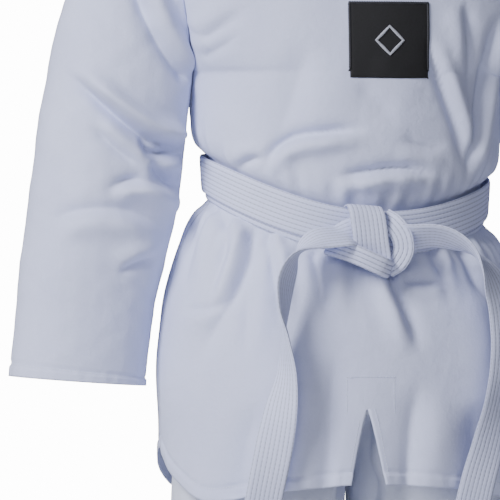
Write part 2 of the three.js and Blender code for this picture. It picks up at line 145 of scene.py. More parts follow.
def round_corners(path: Array, times: int = 2) -> Array:
    """Corner cutting: each pass replaces a corner by points a quarter and three quarters along its sides."""
    for _ in range(times):
        a, b = path[:-1], path[1:]
        cut = np.stack([0.75 * a + 0.25 * b, 0.25 * a + 0.75 * b], axis=1).reshape(-1, path.shape[1])
        path = np.concatenate([path[:1], cut, path[-1:]])
    return path


def spline(points: Sequence[Sequence[float]], count: int) -> Array:
    """Smooth curve through points, read at count even steps of its length."""
    knots = np.array(points, float)
    span = distances(knots)
    slope = np.gradient(knots, span, axis=0)
    at = np.linspace(0, span[-1], 12 * len(knots))
    fine = hermite(knots, slope, span, at)
    length = distances(fine)
    even = np.interp(np.linspace(0, length[-1], count), length, at)
    return hermite(knots, slope, span, even)


def path_length(path: Array, closed: bool = False) -> float:
    """Length of a path in metres, with the step back to its start where it is closed."""
    loop = np.concatenate([path, path[:1]]) if closed else path
    return round(float(distances(loop)[-1]) * MM, 3)


def hermite(knots: Array, slope: Array, span: Array, at: Array) -> Array:
    """Cubic pieces between knots with the given slopes, at distances at along span."""
    i = np.clip(np.searchsorted(span, at, side="right") - 1, 0, len(span) - 2)
    step = (span[i + 1] - span[i])[:, None]
    t = ((at - span[i])[:, None]) / step
    return (knots[i] * (1 - 3 * t**2 + 2 * t**3) + knots[i + 1] * (3 * t**2 - 2 * t**3)
            + step * (slope[i] * (t - 2 * t**2 + t**3) + slope[i + 1] * (t**3 - t**2)))


def grid_normals(points: Array, ring: bool = False) -> Array:
    """Unit normals of a grid of points: the cross product of its row and column directions."""
    along = np.gradient(points, axis=0)
    if ring:
        across = (np.roll(points, -1, axis=1) - np.roll(points, 1, axis=1)) / 2
    else:
        across = np.gradient(points, axis=1)
    normal = np.cross(across, along)
    size = np.linalg.norm(normal, axis=-1, keepdims=True)
    return normal / np.where(size < 1e-9, 1.0, size)


def outward(points: Array, centre: Sequence[float], ring: bool = False) -> Array:
    """Grid normals, turned so that on the whole they point away from the line up through centre."""
    normal = grid_normals(points, ring)
    away = (points - np.array(centre))[..., :2]
    facing = np.sum(away * normal[..., :2])
    return normal if facing >= 0 else -normal


# ------------------------------------------------------------------ folds in cloth
@dataclass(frozen=True)
class Fold:
    """A crease along a path with a soft ridge beside it.

    The lift is -depth * exp(-(d / width)^2) at distance d from the path, plus a wider bump of
    ridge * depth centred 1.9 widths to one side, and it fades out towards both ends.
    """

    path: tuple[tuple[float, float], ...]
    depth: float
    width: float
    ridge: float = 0.6
    ridge_side: int = 1
    fade: tuple[float, float] = (0.3, 0.4)

    def lift(self, across: Array, height: Array) -> Array:
        """How far the fold moves the cloth outwards at the given places, in millimetres."""
        path = round_corners(np.array(self.path, float))
        a, b = path[:-1], path[1:]
        length = np.linalg.norm(b - a, axis=1)
        before = np.concatenate([[0.0], np.cumsum(length)])
        best = np.full(across.shape, 1e9)
        signed = np.zeros(across.shape)
        done = np.zeros(across.shape)
        for i, (start, end) in enumerate(zip(a, b)):
            dx, dz = (end - start) / length[i]
            t = np.clip((across - start[0]) * dx + (height - start[1]) * dz, 0, length[i])
            off_x = across - start[0] - t * dx
            off_z = height - start[1] - t * dz
            far = np.hypot(off_x, off_z)
            nearer = far < best
            best = np.where(nearer, far, best)
            signed = np.where(nearer, np.where(dx * off_z - dz * off_x >= 0, far, -far), signed)
            done = np.where(nearer, (before[i] + t) / before[-1], done)
        strength = smoothstep(0, self.fade[0], done) * smoothstep(0, self.fade[1], 1 - done)
        crease = -np.exp(-((np.abs(signed) / self.width) ** 1.35))
        bump = np.exp(-(((signed - 1.9 * self.ridge_side * self.width) / (1.7 * self.width)) ** 2))
        return self.depth * strength * (crease + self.ridge * bump)


def lift_of(folds: Sequence[Fold], across: Array, height: Array) -> Array:
    """Sum of the folds' lifts."""
    total = np.zeros(across.shape)
    for fold in folds:
        total += fold.lift(across, height)
    return total


def ripples(seed: int, count: int, low: float, high: float, across: Array, height: Array) -> Array:
    """Calm unevenness of cloth: seeded plane sine waves from low to high mm long."""
    rng = np.random.default_rng(seed)
    total = np.zeros(across.shape)
    for _ in range(count):
        turn = rng.uniform(0, math.pi)
        number = 2 * math.pi / rng.uniform(low, high)
        phase = rng.uniform(0, 2 * math.pi)
        total += np.sin(number * (across * math.cos(turn) + height * math.sin(turn)) + phase)
    return total / math.sqrt(count)


# ------------------------------------------------------------------ finishes
@dataclass(frozen=True)
class Cloth:
    """Plain woven cotton blend: threads, slight slubs and broad unevenness of tone."""

    name: str
    colour: tuple[float, float, float]
    shade: tuple[float, float, float]
    roughness: float = 0.85
    thread: float = 0.55
    weave_bump: float = 0.12
    crumple: float = 0.4
    sheen: float = 0.15
    row_gap: float = 0.0
    stitch_pitch: float = 5.0
    # colour of the painted shade laid along the stitched grooves
    groove_shade_colour: tuple[float, float, float] = (0.2, 0.21, 0.3)

    def build(self) -> bpy.types.Material:
        """Makes the node material.

        Returns:
            The material: a noise mix of colour and shade, bumped by crossed threads read from the
            piece's own UV map in metres and by a fine crumple on Object coordinates.
        """
        nodes = MaterialNodes(self.name)
        place = nodes.add("ShaderNodeTexCoord")
        uv = nodes.add("ShaderNodeUVMap", uv_map="cloth")
        tone = nodes.noise(place.outputs["Object"], scale=9.0, detail=6.0, roughness=0.6)
        slub = nodes.noise(place.outputs["Object"], scale=420.0, detail=2.0, roughness=0.7)
        mixed = nodes.operate("MULTIPLY_ADD", slub, 0.25, nodes.operate("MULTIPLY", tone, 0.75))
        ramp = nodes.ramp(mixed, [(0.34, self.shade), (0.62, self.colour)])
        # painted shade: where rows are set, the colour darkens along the stitched grooves
        if self.row_gap > 0:
            ramp = nodes.painted_groove_shade(uv.outputs["UV"], ramp, self.groove_shade_colour, self.row_gap,
                                       self.stitch_pitch)
        threads = nodes.weave(uv.outputs["UV"], self.thread)
        crumple = nodes.noise(place.outputs["Object"], scale=55.0, detail=4.0, roughness=0.55)
        bump = nodes.bump(crumple, self.crumple, 0.003)
        bump = nodes.bump(threads, self.weave_bump, 0.0004, bump)
        shader = nodes.shader(ramp, bump, self.roughness)
        shader.inputs["Sheen Weight"].default_value = self.sheen
        shader.inputs["Sheen Roughness"].default_value = 0.5
        shader.inputs["Specular IOR Level"].default_value = 0.25
        return nodes.material


@dataclass(frozen=True)
class PlainFinish:
    """A finish with one tone, a fine noise of darker specks and a bump of its own scale."""

    name: str
    colour: tuple[float, float, float]
    speck: tuple[float, float, float]
    roughness: float
    metallic: float = 0.0
    scale: float = 600.0
    bump: float = 0.2

    def build(self) -> bpy.types.Material:
        """Makes the node material: noise on Object coordinates drives the tone and the bump."""
        nodes = MaterialNodes(self.name)
        place = nodes.add("ShaderNodeTexCoord")
        grain = nodes.noise(place.outputs["Object"], scale=self.scale, detail=3.0, roughness=0.6)
        ramp = nodes.ramp(grain, [(0.35, self.speck), (0.6, self.colour)])
        bump = nodes.bump(grain, self.bump, 0.0005)
        shader = nodes.shader(ramp, bump, self.roughness)
        shader.inputs["Metallic"].default_value = self.metallic
        return nodes.material


class MaterialNodes:
    """A node material and short ways to add to it."""

    def __init__(self, name: str) -> None:
        """Starts an empty node material called name."""
        self.material = bpy.data.materials.new(name)
        self.material.use_nodes = True
        self.tree = self.material.node_tree
        self.tree.nodes.clear()

    def add(self, kind: str, **settings: object) -> bpy.types.Node:
        """Adds a node of that kind with the given settings."""
        node = self.tree.nodes.new(kind)
        for key, value in settings.items():
            setattr(node, key, value)
        return node

    def link(self, source: bpy.types.NodeSocket, target: bpy.types.NodeSocket) -> None:
        """Joins two sockets."""
        self.tree.links.new(source, target)

    def noise(self, at: bpy.types.NodeSocket, scale: float, detail: float, roughness: float):
        """Adds a noise texture and returns its factor."""
        node = self.add("ShaderNodeTexNoise")
        node.inputs["Scale"].default_value = scale
        node.inputs["Detail"].default_value = detail
        node.inputs["Roughness"].default_value = roughness
        self.link(at, node.inputs["Vector"])
        return node.outputs["Fac"]

    def ramp(self, value, stops: Sequence[tuple[float, tuple[float, float, float]]]):
        """Adds a colour ramp with the given stops and returns its colour."""
        node = self.add("ShaderNodeValToRGB")
        for element, (position, colour) in zip(node.color_ramp.elements, stops):
            element.position = position
            element.color = (*colour, 1.0)
        self.link(value, node.inputs["Fac"])
        return node.outputs["Color"]

    def weave(self, uv, thread: float):
        """Crossed sine bands, thread millimetres apart, multiplied into a plain weave."""
        parts = []
        for direction in ("X", "Y"):
            wave = self.add("ShaderNodeTexWave", wave_type="BANDS", bands_direction=direction)
            wave.inputs["Scale"].default_value = 2 * math.pi / (20.0 * thread * MM)
            wave.inputs["Distortion"].default_value = 0.6
            wave.inputs["Detail"].default_value = 1.0
            self.link(uv, wave.inputs["Vector"])
            parts.append(wave.outputs["Fac"])
        return self.operate("MULTIPLY", *parts)

    def operate(self, operation: str, *values: bpy.types.NodeSocket | float) -> bpy.types.NodeSocket:
        """One step of arithmetic between sockets and numbers."""
        node = self.add("ShaderNodeMath", operation=operation)
        for slot, value in zip(node.inputs, values):
            if isinstance(value, bpy.types.NodeSocket):
                self.link(value, slot)
            else:
                slot.default_value = value
        return node.outputs[0]

    def painted_groove_shade(self, uv, base, colour: tuple[float, float, float], gap: float, pitch: float):
        """Painted shade of the stitched grooves: darkens base along rows gap mm apart across the map, most
        between stitches pitch mm long.
        """
        split = self.add("ShaderNodeSeparateXYZ")
        self.link(uv, split.inputs[0])
        lines = []
        for axis, length, power in (("Y", gap, 5.0), ("X", pitch, 2.0)):
            scaled = self.operate("MULTIPLY", split.outputs[axis], 1 / (length * MM))
            wave = self.operate("PINGPONG", scaled, 0.5)
            lines.append(self.operate("POWER", self.operate("MULTIPLY_ADD", wave, -2.0, 1.0), power))
        both = self.operate("MULTIPLY", lines[0], self.operate("MULTIPLY_ADD", lines[1], 0.45, 0.55))
        mix = self.add("ShaderNodeMix", data_type="RGBA")
        self.link(both, mix.inputs["Factor"])
        self.link(base, mix.inputs[6])
        mix.inputs[7].default_value = (*colour, 1.0)
        return mix.outputs[2]

    def bump(self, height, strength: float, distance: float, under=None):
        """Adds a bump over an earlier one and returns its normal."""
        node = self.add("ShaderNodeBump")
        node.inputs["Strength"].default_value = strength
        node.inputs["Distance"].default_value = distance
        self.link(height, node.inputs["Height"])
        if under is not None:
            self.link(under, node.inputs["Normal"])
        return node.outputs["Normal"]

    def shader(self, colour, normal, roughness: float) -> bpy.types.Node:
        """Adds the principled shader and the output and returns the shader."""
        node = self.add("ShaderNodeBsdfPrincipled")
        node.inputs["Roughness"].default_value = roughness
        self.link(colour, node.inputs["Base Color"])
        self.link(normal, node.inputs["Normal"])
        output = self.add("ShaderNodeOutputMaterial")
        self.link(node.outputs["BSDF"], output.inputs["Surface"])
        return node


JACKET_CLOTH = Cloth("jacket_cotton", (0.60, 0.64, 0.88), (0.54, 0.58, 0.82))
TROUSER_CLOTH = Cloth("trouser_cotton", (0.68, 0.72, 0.88), (0.61, 0.65, 0.82))
# the belt's rows get painted shade along their stitched grooves (row_gap)
BELT_CLOTH = Cloth("belt_cotton", (0.64, 0.68, 0.93), (0.56, 0.60, 0.85), 0.8, 0.7, 0.2, 0.08, 0.05,
                   row_gap=4.8)
ELASTIC_CLOTH = Cloth("ribbed_elastic", (0.78, 0.78, 0.76), (0.66, 0.66, 0.64), 0.8, 1.6, 0.5, 0.05)
STAY_CLOTH = Cloth("stay_cotton", (0.66, 0.70, 0.86), (0.60, 0.64, 0.80))
THREAD = PlainFinish("sewing_thread", (0.72, 0.76, 0.92), (0.52, 0.56, 0.74), 0.6, scale=1500.0)
PATCH_WEAVE = PlainFinish("patch_weave", (0.006, 0.006, 0.009), (0.002, 0.002, 0.003), 0.75,
                          scale=1300.0, bump=0.5)
PATCH_EDGE = PlainFinish("patch_overlock", (0.02, 0.021, 0.03), (0.009, 0.009, 0.014), 0.6,
                         scale=1800.0, bump=0.6)
MOTIF_THREAD = PlainFinish("motif_embroidery", (0.42, 0.43, 0.50), (0.24, 0.25, 0.31), 0.45,
                           scale=900.0, bump=0.6)
LABEL_SATIN = PlainFinish("label_satin", (0.74, 0.74, 0.78), (0.66, 0.66, 0.70), 0.4, scale=800.0, bump=0.1)
NICKEL = PlainFinish("eyelet_nickel", (0.62, 0.62, 0.64), (0.5, 0.5, 0.52), 0.28, metallic=1.0,
                     scale=300.0, bump=0.05)


class Wardrobe:
    """Makes each finish once and hands it out."""

    def __init__(self) -> None:
        """Starts with no material made."""
        self.made: dict[str, bpy.types.Material] = {}

    def get(self, finish: Cloth | PlainFinish) -> bpy.types.Material:
        """The material of a finish, built on first use."""
        if finish.name not in self.made:
            self.made[finish.name] = finish.build()
        return self.made[finish.name]


WARDROBE = Wardrobe()


# ------------------------------------------------------------------ meshes
def numbered(rows: int, columns: int) -> Array:
    """Numbers of a grid's points, row by row."""
    return np.arange(rows * columns).reshape(rows, columns)


def quads_of(index: Array, ring: bool = False) -> Array:
    """Quads of a grid from its points' numbers; in a ring the last column joins the first."""
    right = np.roll(index, -1, axis=1)
    quads = np.stack([index[:-1], right[:-1], right[1:], index[1:]], axis=-1)
    return (quads if ring else quads[:, :-1]).reshape(-1, 4)


def make_object(name: str, points: Array, faces: Array, finish: Cloth | PlainFinish,
                uv: Array | None = None, smooth: bool = True) -> bpy.types.Object:
    """Puts points (millimetres) and faces into a mesh object.

    Args:
        name: the piece's name.
        points: vertices, one row each.
        faces: vertex numbers of quads or triangles, one row each.
        finish: what the surface is made of.
        uv: one pair per vertex in metres, or None for a flat map of X and Z.
        smooth: whether faces shade smoothly.

    Returns:
        The new object at the origin.
    """
    mesh = bpy.data.meshes.new(name)
    sides = faces.shape[1]
    mesh.vertices.add(len(points))
    mesh.vertices.foreach_set("co", (points * MM).astype(np.float32).ravel())
    mesh.loops.add(faces.size)
    mesh.loops.foreach_set("vertex_index", faces.astype(np.int32).ravel())
    mesh.polygons.add(len(faces))
    mesh.polygons.foreach_set("loop_start", np.arange(0, faces.size, sides, dtype=np.int32))
    mesh.polygons.foreach_set("use_smooth", np.full(len(faces), smooth))
    layer = mesh.uv_layers.new(name="cloth")
    flat = points[:, [0, 2]] * MM if uv is None else uv
    layer.data.foreach_set("uv", flat[faces.ravel()].astype(np.float32).ravel())
    mesh.update(calc_edges=True)
    mesh.validate()
    mesh.materials.append(WARDROBE.get(finish))
    piece = bpy.data.objects.new(name, mesh)
    bpy.context.scene.collection.objects.link(piece)
    return piece


def grid_uv(points: Array) -> Array:
    """Map of a grid in metres: distance along the middle row and along the middle column."""
    rows, columns = points.shape[:2]
    u = np.linalg.norm(np.diff(points[rows // 2], axis=0), axis=1).cumsum()
    v = np.linalg.norm(np.diff(points[:, columns // 2], axis=0), axis=1).cumsum()
    u, v = np.concatenate([[0.0], u]), np.concatenate([[0.0], v])
    return np.stack(np.meshgrid(u, v), axis=-1).reshape(-1, 2) * MM


def keep_modifiers_result(piece: bpy.types.Object) -> None:
    """Replaces the piece's mesh by what its modifiers make of it and drops them."""
    graph = bpy.context.evaluated_depsgraph_get()
    made = bpy.data.meshes.new_from_object(piece.evaluated_get(graph))
    piece.modifiers.clear()
    piece.data = made


def give_thickness(piece: bpy.types.Object, thickness: float, facing: float = -1.0) -> None:
    """Closes a sheet into a thin wall: the second skin lies thickness mm behind the first."""
    wall = piece.modifiers.new("wall", "SOLIDIFY")
    wall.thickness = thickness * MM
    wall.offset = facing
    wall.use_even_offset = False
    wall.use_rim = True
    keep_modifiers_result(piece)


def cloth_piece(name: str, points: Array, normals: Array, finish: Cloth | PlainFinish, ring: bool = False,
                thickness: float = 1.0) -> bpy.types.Object:
    """A sheet from a grid of outer points, closed into a wall behind them.

    Args:
        name: the piece's name.
        points: grid of the outer skin.
        normals: outward unit normals of the grid, which decide which way faces turn.
        finish: what the cloth is.
        ring: whether the last column joins the first.
        thickness: the wall, in millimetres.

    Returns:
        The finished object.
    """
    faces = quads_of(numbered(*points.shape[:2]), ring)
    flat = points.reshape(-1, 3)
    if faces_point_in(flat, faces, normals.reshape(-1, 3)):
        faces = faces[:, ::-1]
    piece = make_object(name, flat, faces, finish, grid_uv(points))
    give_thickness(piece, thickness)
    return piece


def faces_point_in(points: Array, faces: Array, normals: Array) -> bool:
    """Whether the faces turn against the given normals on the whole."""
    a, b, c = (points[faces[:, i]] for i in (0, 1, 2))
    return float(np.sum(np.cross(b - a, c - a) * normals[faces[:, 0]])) < 0


def tube_piece(name: str, rings: Array, finish: Cloth | PlainFinish, uv: Array | None = None,
               loop: bool = False) -> bpy.types.Object:
    """A closed body from rings of points; both ends are capped unless the rings join in a loop."""
    count, around = rings.shape[:2]
    points = rings.reshape(-1, 3)
    index = numbered(count, around)
    if loop:
        faces = quads_of(np.concatenate([index, index[:1]]), ring=True)
    else:
        faces = quads_of(index, ring=True)
        half = around // 2
        lower = np.arange(half - 1)
        cap = np.stack([lower, lower + 1, around - 2 - lower, around - 1 - lower], axis=-1)
        faces = np.concatenate([faces, cap[:, ::-1], cap + (count - 1) * around])
    if signed_volume(points, faces) < 0:
        faces = faces[:, ::-1]
    return make_object(name, points, faces, finish, uv)


def signed_volume(points: Array, faces: Array) -> float:
    """Volume inside quads; negative where they point inwards."""
    a, b, c, d = (points[faces[:, i]] for i in range(4))
    return float(np.sum(np.sum(a * (np.cross(b, c) + np.cross(c, d)), axis=1))) / 6


@dataclass(frozen=True)
class Stitching:
    """A row of lock stitches: each is a slim four-sided spindle lying on the cloth."""

    pitch: float = 3.4
    length: float = 2.5
    width: float = 0.75
    height: float = 0.45

    def along(self, name: str, path: Array, normals: Array, finish: PlainFinish = THREAD) -> bpy.types.Object:
        """Sews a row along a path.

        Args:
            name: the piece's name.
            path: points on the cloth.
            normals: the cloth's unit normals there.
            finish: the thread.

        Returns:
            One object that holds every stitch.
        """
        run = distances(path)
        count = max(2, int(run[-1] / self.pitch))
        at = (np.arange(count) + 0.5) * run[-1] / count
        middle = read_rows(at, run, path)
        up = unit(read_rows(at, run, normals))
        ahead = unit(read_rows(at, run, np.gradient(path, run, axis=0)))
        side = np.cross(up, ahead)
        turn = np.arange(4) * math.pi / 2
        ring = (side[:, None] * (np.cos(turn) * self.width / 2)[None, :, None]
                + up[:, None] * (np.sin(turn) * self.height)[None, :, None])
        back = middle[:, None] - ahead[:, None] * self.length * 0.28 + ring
        front = middle[:, None] + ahead[:, None] * self.length * 0.28 + ring
        tips = np.stack([middle - ahead * self.length / 2, middle + ahead * self.length / 2], axis=1)
        points = np.concatenate([back, front, tips - up[:, None] * 0.1], axis=1)
        sides = np.array([[0, 1, 5, 4], [1, 2, 6, 5], [2, 3, 7, 6], [3, 0, 4, 7]])
        caps = np.array([[8, 1, 0], [8, 2, 1], [8, 3, 2], [8, 0, 3],
                         [9, 4, 5], [9, 5, 6], [9, 6, 7], [9, 7, 4]])
        triangles = np.concatenate([sides[:, [0, 1, 2]], sides[:, [0, 2, 3]], caps])
        faces = (triangles[None] + 10 * np.arange(count)[:, None, None]).reshape(-1, 3)
        return make_object(name, points.reshape(-1, 3), faces, finish)


STITCHING = Stitching()


def hem_lift(distance: Array, along: Array, depth: float = 15.0) -> Array:
    """Relief of a turned hem: a step up near the edge, a groove at its stitches, soft puckers.

    Args:
        distance: distance from the hem's edge, in millimetres.
        along: place along the hem, in millimetres.
        depth: height of the turned hem.

    Returns:
        The lift in millimetres.
    """
    step = 0.9 * smoothstep(0, 2.5, depth - distance)
    groove = -1.5 * np.exp(-(((distance - depth) / 2.3) ** 2))
    wave = np.sin(along / 2.1) * 0.6 + np.sin(along / 3.7 + 1.3) * 0.5 + np.sin(along / 9.0) * 0.6
    return step + groove + 0.45 * wave * np.exp(-(((distance - 0.6 * depth) / (0.7 * depth)) ** 2))


# ------------------------------------------------------------------ the jacket's body
@dataclass(frozen=True)
class TorsoForm:
    """The worn shape of the jacket's body, as half widths and depths above and below the belt line."""

    neck_half: float = 104.0
    neck_depth: float = 162.0
    neck_back_drop: float = 8.0
    shoulder_x: float = 213.0
    shoulder_z: float = -50.0
    armpit_x: float = 172.0
    armpit_z: float = -250.0
    armhole_front: float = 45.0
    armhole_back: float = 50.0
    shoulder_round: float = 150.0
    waist_x: float = 150.0
    waist_y: float = 107.0
    belt_back_z: float = -370.0
    belt_front_drop: float = 54.0
    belt_roll: float = 10.5
    width_keys: tuple[tuple[float, float], ...] = (
        (-285, 205), (-200, 208), (-150, 203), (-95, 190), (-60, 178), (-40, 166), (-30, 155), (-22, 150),
        (0, 150), (20, 150), (28, 156), (38, 165), (55, 170), (85, 172), (130, 172))
    front_keys: tuple[tuple[float, float], ...] = (
        (-285, 143), (-200, 142), (-150, 138), (-95, 130), (-60, 122), (-40, 115), (-30, 109), (-22, 107),
        (0, 107), (20, 107), (28, 112), (38, 118), (55, 123), (85, 126), (130, 127))
    back_keys: tuple[tuple[float, float], ...] = (
        (-285, 138), (-200, 137), (-150, 134), (-95, 127), (-60, 121), (-40, 115), (-30, 109), (-22, 107),
        (0, 107), (20, 107), (28, 111), (38, 116), (55, 119), (85, 121), (130, 121))
    upper_keys: tuple[tuple[float, float], ...] = ((-250, 1.0), (-170, 0.96), (-100, 0.9), (0, 0.8))

    def belt_height(self, angle: Array, side: Side) -> Array:
        """Height of the belt's middle line at an angle from the middle of that side."""
        forward = (1 - side.value * np.cos(angle)) / 2
        return self.belt_back_z - self.belt_front_drop * forward**3.3 - self.belt_roll * np.sin(angle)

    def half_width(self, z: Array, belt: Array) -> Array:
        """Half width: by height above the belt line, then from the armpit straight to the shoulder."""
        low = smooth_curve(self.width_keys, z - belt)
        rise = np.clip((z - self.armpit_z) / (self.shoulder_z - self.armpit_z), 0, 1)
        return np.where(z > self.armpit_z, self.armpit_x + (self.shoulder_x - self.armpit_x) * rise, low)

    def shoulder_line(self, x: Array) -> Array:
        """Height of the shoulder seam over x; level inside the neck."""
        past = np.maximum(0, np.abs(x) - self.neck_half)
        return self.shoulder_z * past / (self.shoulder_x - self.neck_half)

    def armhole_depth(self, z: Array, side: Side) -> Array:
        """How far the armhole edge lies from the side line: half an ellipse from armpit to shoulder."""
        middle = (self.shoulder_z + self.armpit_z) / 2
        reach = (self.shoulder_z - self.armpit_z) / 2
        along = np.clip((z - middle) / reach, -1, 1)
        size = self.armhole_front if side is Side.FRONT else self.armhole_back
        return size * np.sqrt(1 - along**2)

    def point(self, angle: Array, z: Array, side: Side) -> Array:
        """Smooth body: x = width * sin(angle), y = edge + (depth * rise - edge) * cos(angle)^0.9."""
        belt = self.belt_height(angle, side)
        x = self.half_width(z, belt) * np.sin(angle)
        below = np.clip((self.shoulder_line(x) - z) / self.shoulder_round, 0, 1)
        rise = np.sqrt(1 - (1 - below) ** 2)
        keys = self.front_keys if side is Side.FRONT else self.back_keys
        full = smooth_curve(keys, z - belt) * smooth_curve(self.upper_keys, z)
        edge = self.armhole_depth(z, side)
        y = edge + (full * rise - edge) * np.cos(angle) ** 0.9
        return np.stack([x, side.value * (0.2 + y), z], axis=-1)

    def angle_of(self, x: Array, z: Array, side: Side) -> Array:
        """The angle at which the body has this x."""
        angle = np.zeros(np.broadcast(x, z).shape)
        for _ in range(12):
            angle = np.arcsin(np.clip(x / self.half_width(z, self.belt_height(angle, side)), -1, 1))
        return angle

    def top_edge(self, angle: Array, side: Side) -> Array:
        """Height of the shoulder seam or neckline in each column."""
        z = np.zeros(angle.shape)
        for _ in range(12):
            x = np.abs(self.half_width(z, np.zeros(angle.shape)) * np.sin(angle))
            inside = np.clip(1 - x / self.neck_half, 0, 1)
            if side is Side.FRONT:
                neck = -self.neck_depth * inside
            else:
                neck = -self.neck_back_drop * (1 - (1 - inside) ** 2)
            z = np.where(x >= self.neck_half - 0.01, self.shoulder_line(x), neck)
        return z


FORM = TorsoForm()

FRONT_FOLDS = (
    Fold(((-110, -363), (-106, -343), (-96, -329), (-79, -320), (-50, -316), (-21, -313),
          (4, -311)), 6.5, 6.0, 0.8, -1),
    Fold(((-43, -366), (-14, -360), (19, -355), (49, -355), (84, -362)), 6.0, 5.5, 0.8, -1),
    Fold(((-136, -356), (-122, -343), (-110, -349)), 3.5, 5.0, 0.5, 1),
    Fold(((60, -205), (68, -235), (80, -265), (92, -292), (103, -320),
          (111, -356)), 5.0, 6.0, 0.9, 1, (0.4, 0.2)),
    Fold(((150, -185), (138, -239), (130, -279), (122, -318), (113, -368)), 6.5, 6.0, 0.8, 1, (0.2, 0.2)),
    Fold(((106, -170), (115, -210), (117, -262), (112, -302)), 4.0, 7.0, 0.6, -1, (0.2, 0.5)),
    Fold(((-66, -215), (-78, -262), (-92, -305), (-104, -335)), 3.0, 18.0, 0.4, 1),
    Fold(((-172, -217), (-150, -200), (-128, -180)), 2.5, 7.0, 0.7, 1, (0.1, 0.7)),
    Fold(((-170, -236), (-150, -222), (-132, -206)), 1.8, 6.0, 0.6, 1, (0.1, 0.7)),
    Fold(((-20, -262), (10, -285), (30, -312)), 1.6, 14.0, 0.5, 1),
    Fold(((160, -150), (120, -120), (70, -95)), 3.5, 12.0, 0.5, 1),
    Fold(((-165, -150), (-120, -115), (-70, -90)), 3.0, 12.0, 0.5, -1),
    Fold(((30, -320), (60, -330), (92, -332)), 2.0, 8.0, 0.6, -1),
)

SKIRT_FOLDS = (
    Fold(((-141, -402), (-147, -444), (-161, -484), (-175, -527)), 3.2, 6.0, 0.8, 1, (0.1, 0.6)),
    Fold(((-118, -412), (-123, -450), (-145, -498), (-169, -534),
          (-182, -580)), 4.2, 8.0, 0.7, -1, (0.1, 0.6)),
    Fold(((-104, -418), (-102, -455), (-98, -500), (-97, -540)), 3.2, 5.0, 0.9, 1, (0.1, 0.7)),
    Fold(((-127, -470), (-130, -505), (-134, -560)), 2.2, 7.0, 0.6, 1),
    Fold(((-193, -508), (-161, -506), (-143, -490)), 1.8, 5.0, 0.5, -1),
    Fold(((-160, -392), (-172, -415), (-182, -455), (-188, -500)), 2.6, 6.0, 0.8, 1, (0.1, 0.6)),
    Fold(((20, -452), (32, -491), (44, -520), (56, -556)), 5.5, 7.0, 0.8, -1, (0.1, 0.5)),
    Fold(((74, -430), (80, -459), (89, -476)), 3.2, 5.0, 0.8, 1, (0.1, 0.5)),
    Fold(((106, -425), (122, -469), (140, -505)), 4.0, 6.5, 0.8, 1, (0.1, 0.5)),
    Fold(((30, -474), (61, -475), (92, -478)), 2.2, 5.0, 0.6, -1),
    Fold(((52, -575), (42, -640), (33, -700)), 3.2, 13.0, 0.5, 1, (0.4, 0.05)),
    Fold(((-40, -540), (-48, -610), (-54, -700)), 3.0, 15.0, 0.5, -1, (0.4, 0.05)),
    Fold(((-58, -440), (-52, -480), (-50, -520)), 3.0, 8.0, 0.6, 1, (0.1, 0.5)),
    Fold(((150, -470), (160, -540), (158, -640)), 3.0, 16.0, 0.5, -1, (0.2, 0.2)),
    Fold(((-120, -600), (-135, -650), (-140, -708)), 3.2, 20.0, 0.4, 1, (0.4, 0.05)),
    Fold(((110, -600), (120, -650), (124, -708)), 3.2, 18.0, 0.4, -1, (0.4, 0.05)),
)

BACK_FOLDS = (
    Fold(((-120, -150), (-60, -200), (0, -215), (60, -200), (120, -150)), 3.0, 14.0, 0.5, -1),
    Fold(((-150, -300), (-90, -325), (-20, -332), (60, -322), (130, -305)), 4.5, 9.0, 0.8, -1),
    Fold(((-90, -345), (-40, -352), (30, -350)), 3.5, 6.0, 0.8, -1),
    Fold(((60, -344), (100, -338), (140, -330)), 3.0, 6.0, 0.7, -1),
    Fold(((-150, -230), (-120, -270), (-112, -320)), 3.5, 8.0, 0.7, 1),
    Fold(((150, -230), (122, -270), (110, -315)), 3.5, 8.0, 0.7, -1),
    Fold(((-110, -395), (-118, -450), (-130, -520), (-136, -600)), 4.0, 8.0, 0.7, 1, (0.1, 0.6)),
    Fold(((-40, -398), (-44, -450), (-40, -520)), 4.0, 7.0, 0.7, -1, (0.1, 0.6)),
    Fold(((30, -398), (36, -460), (30, -540), (24, -620)), 4.5, 9.0, 0.6, 1, (0.1, 0.6)),
    Fold(((100, -400), (112, -455), (120, -540)), 4.0, 8.0, 0.7, -1, (0.1, 0.6)),
)


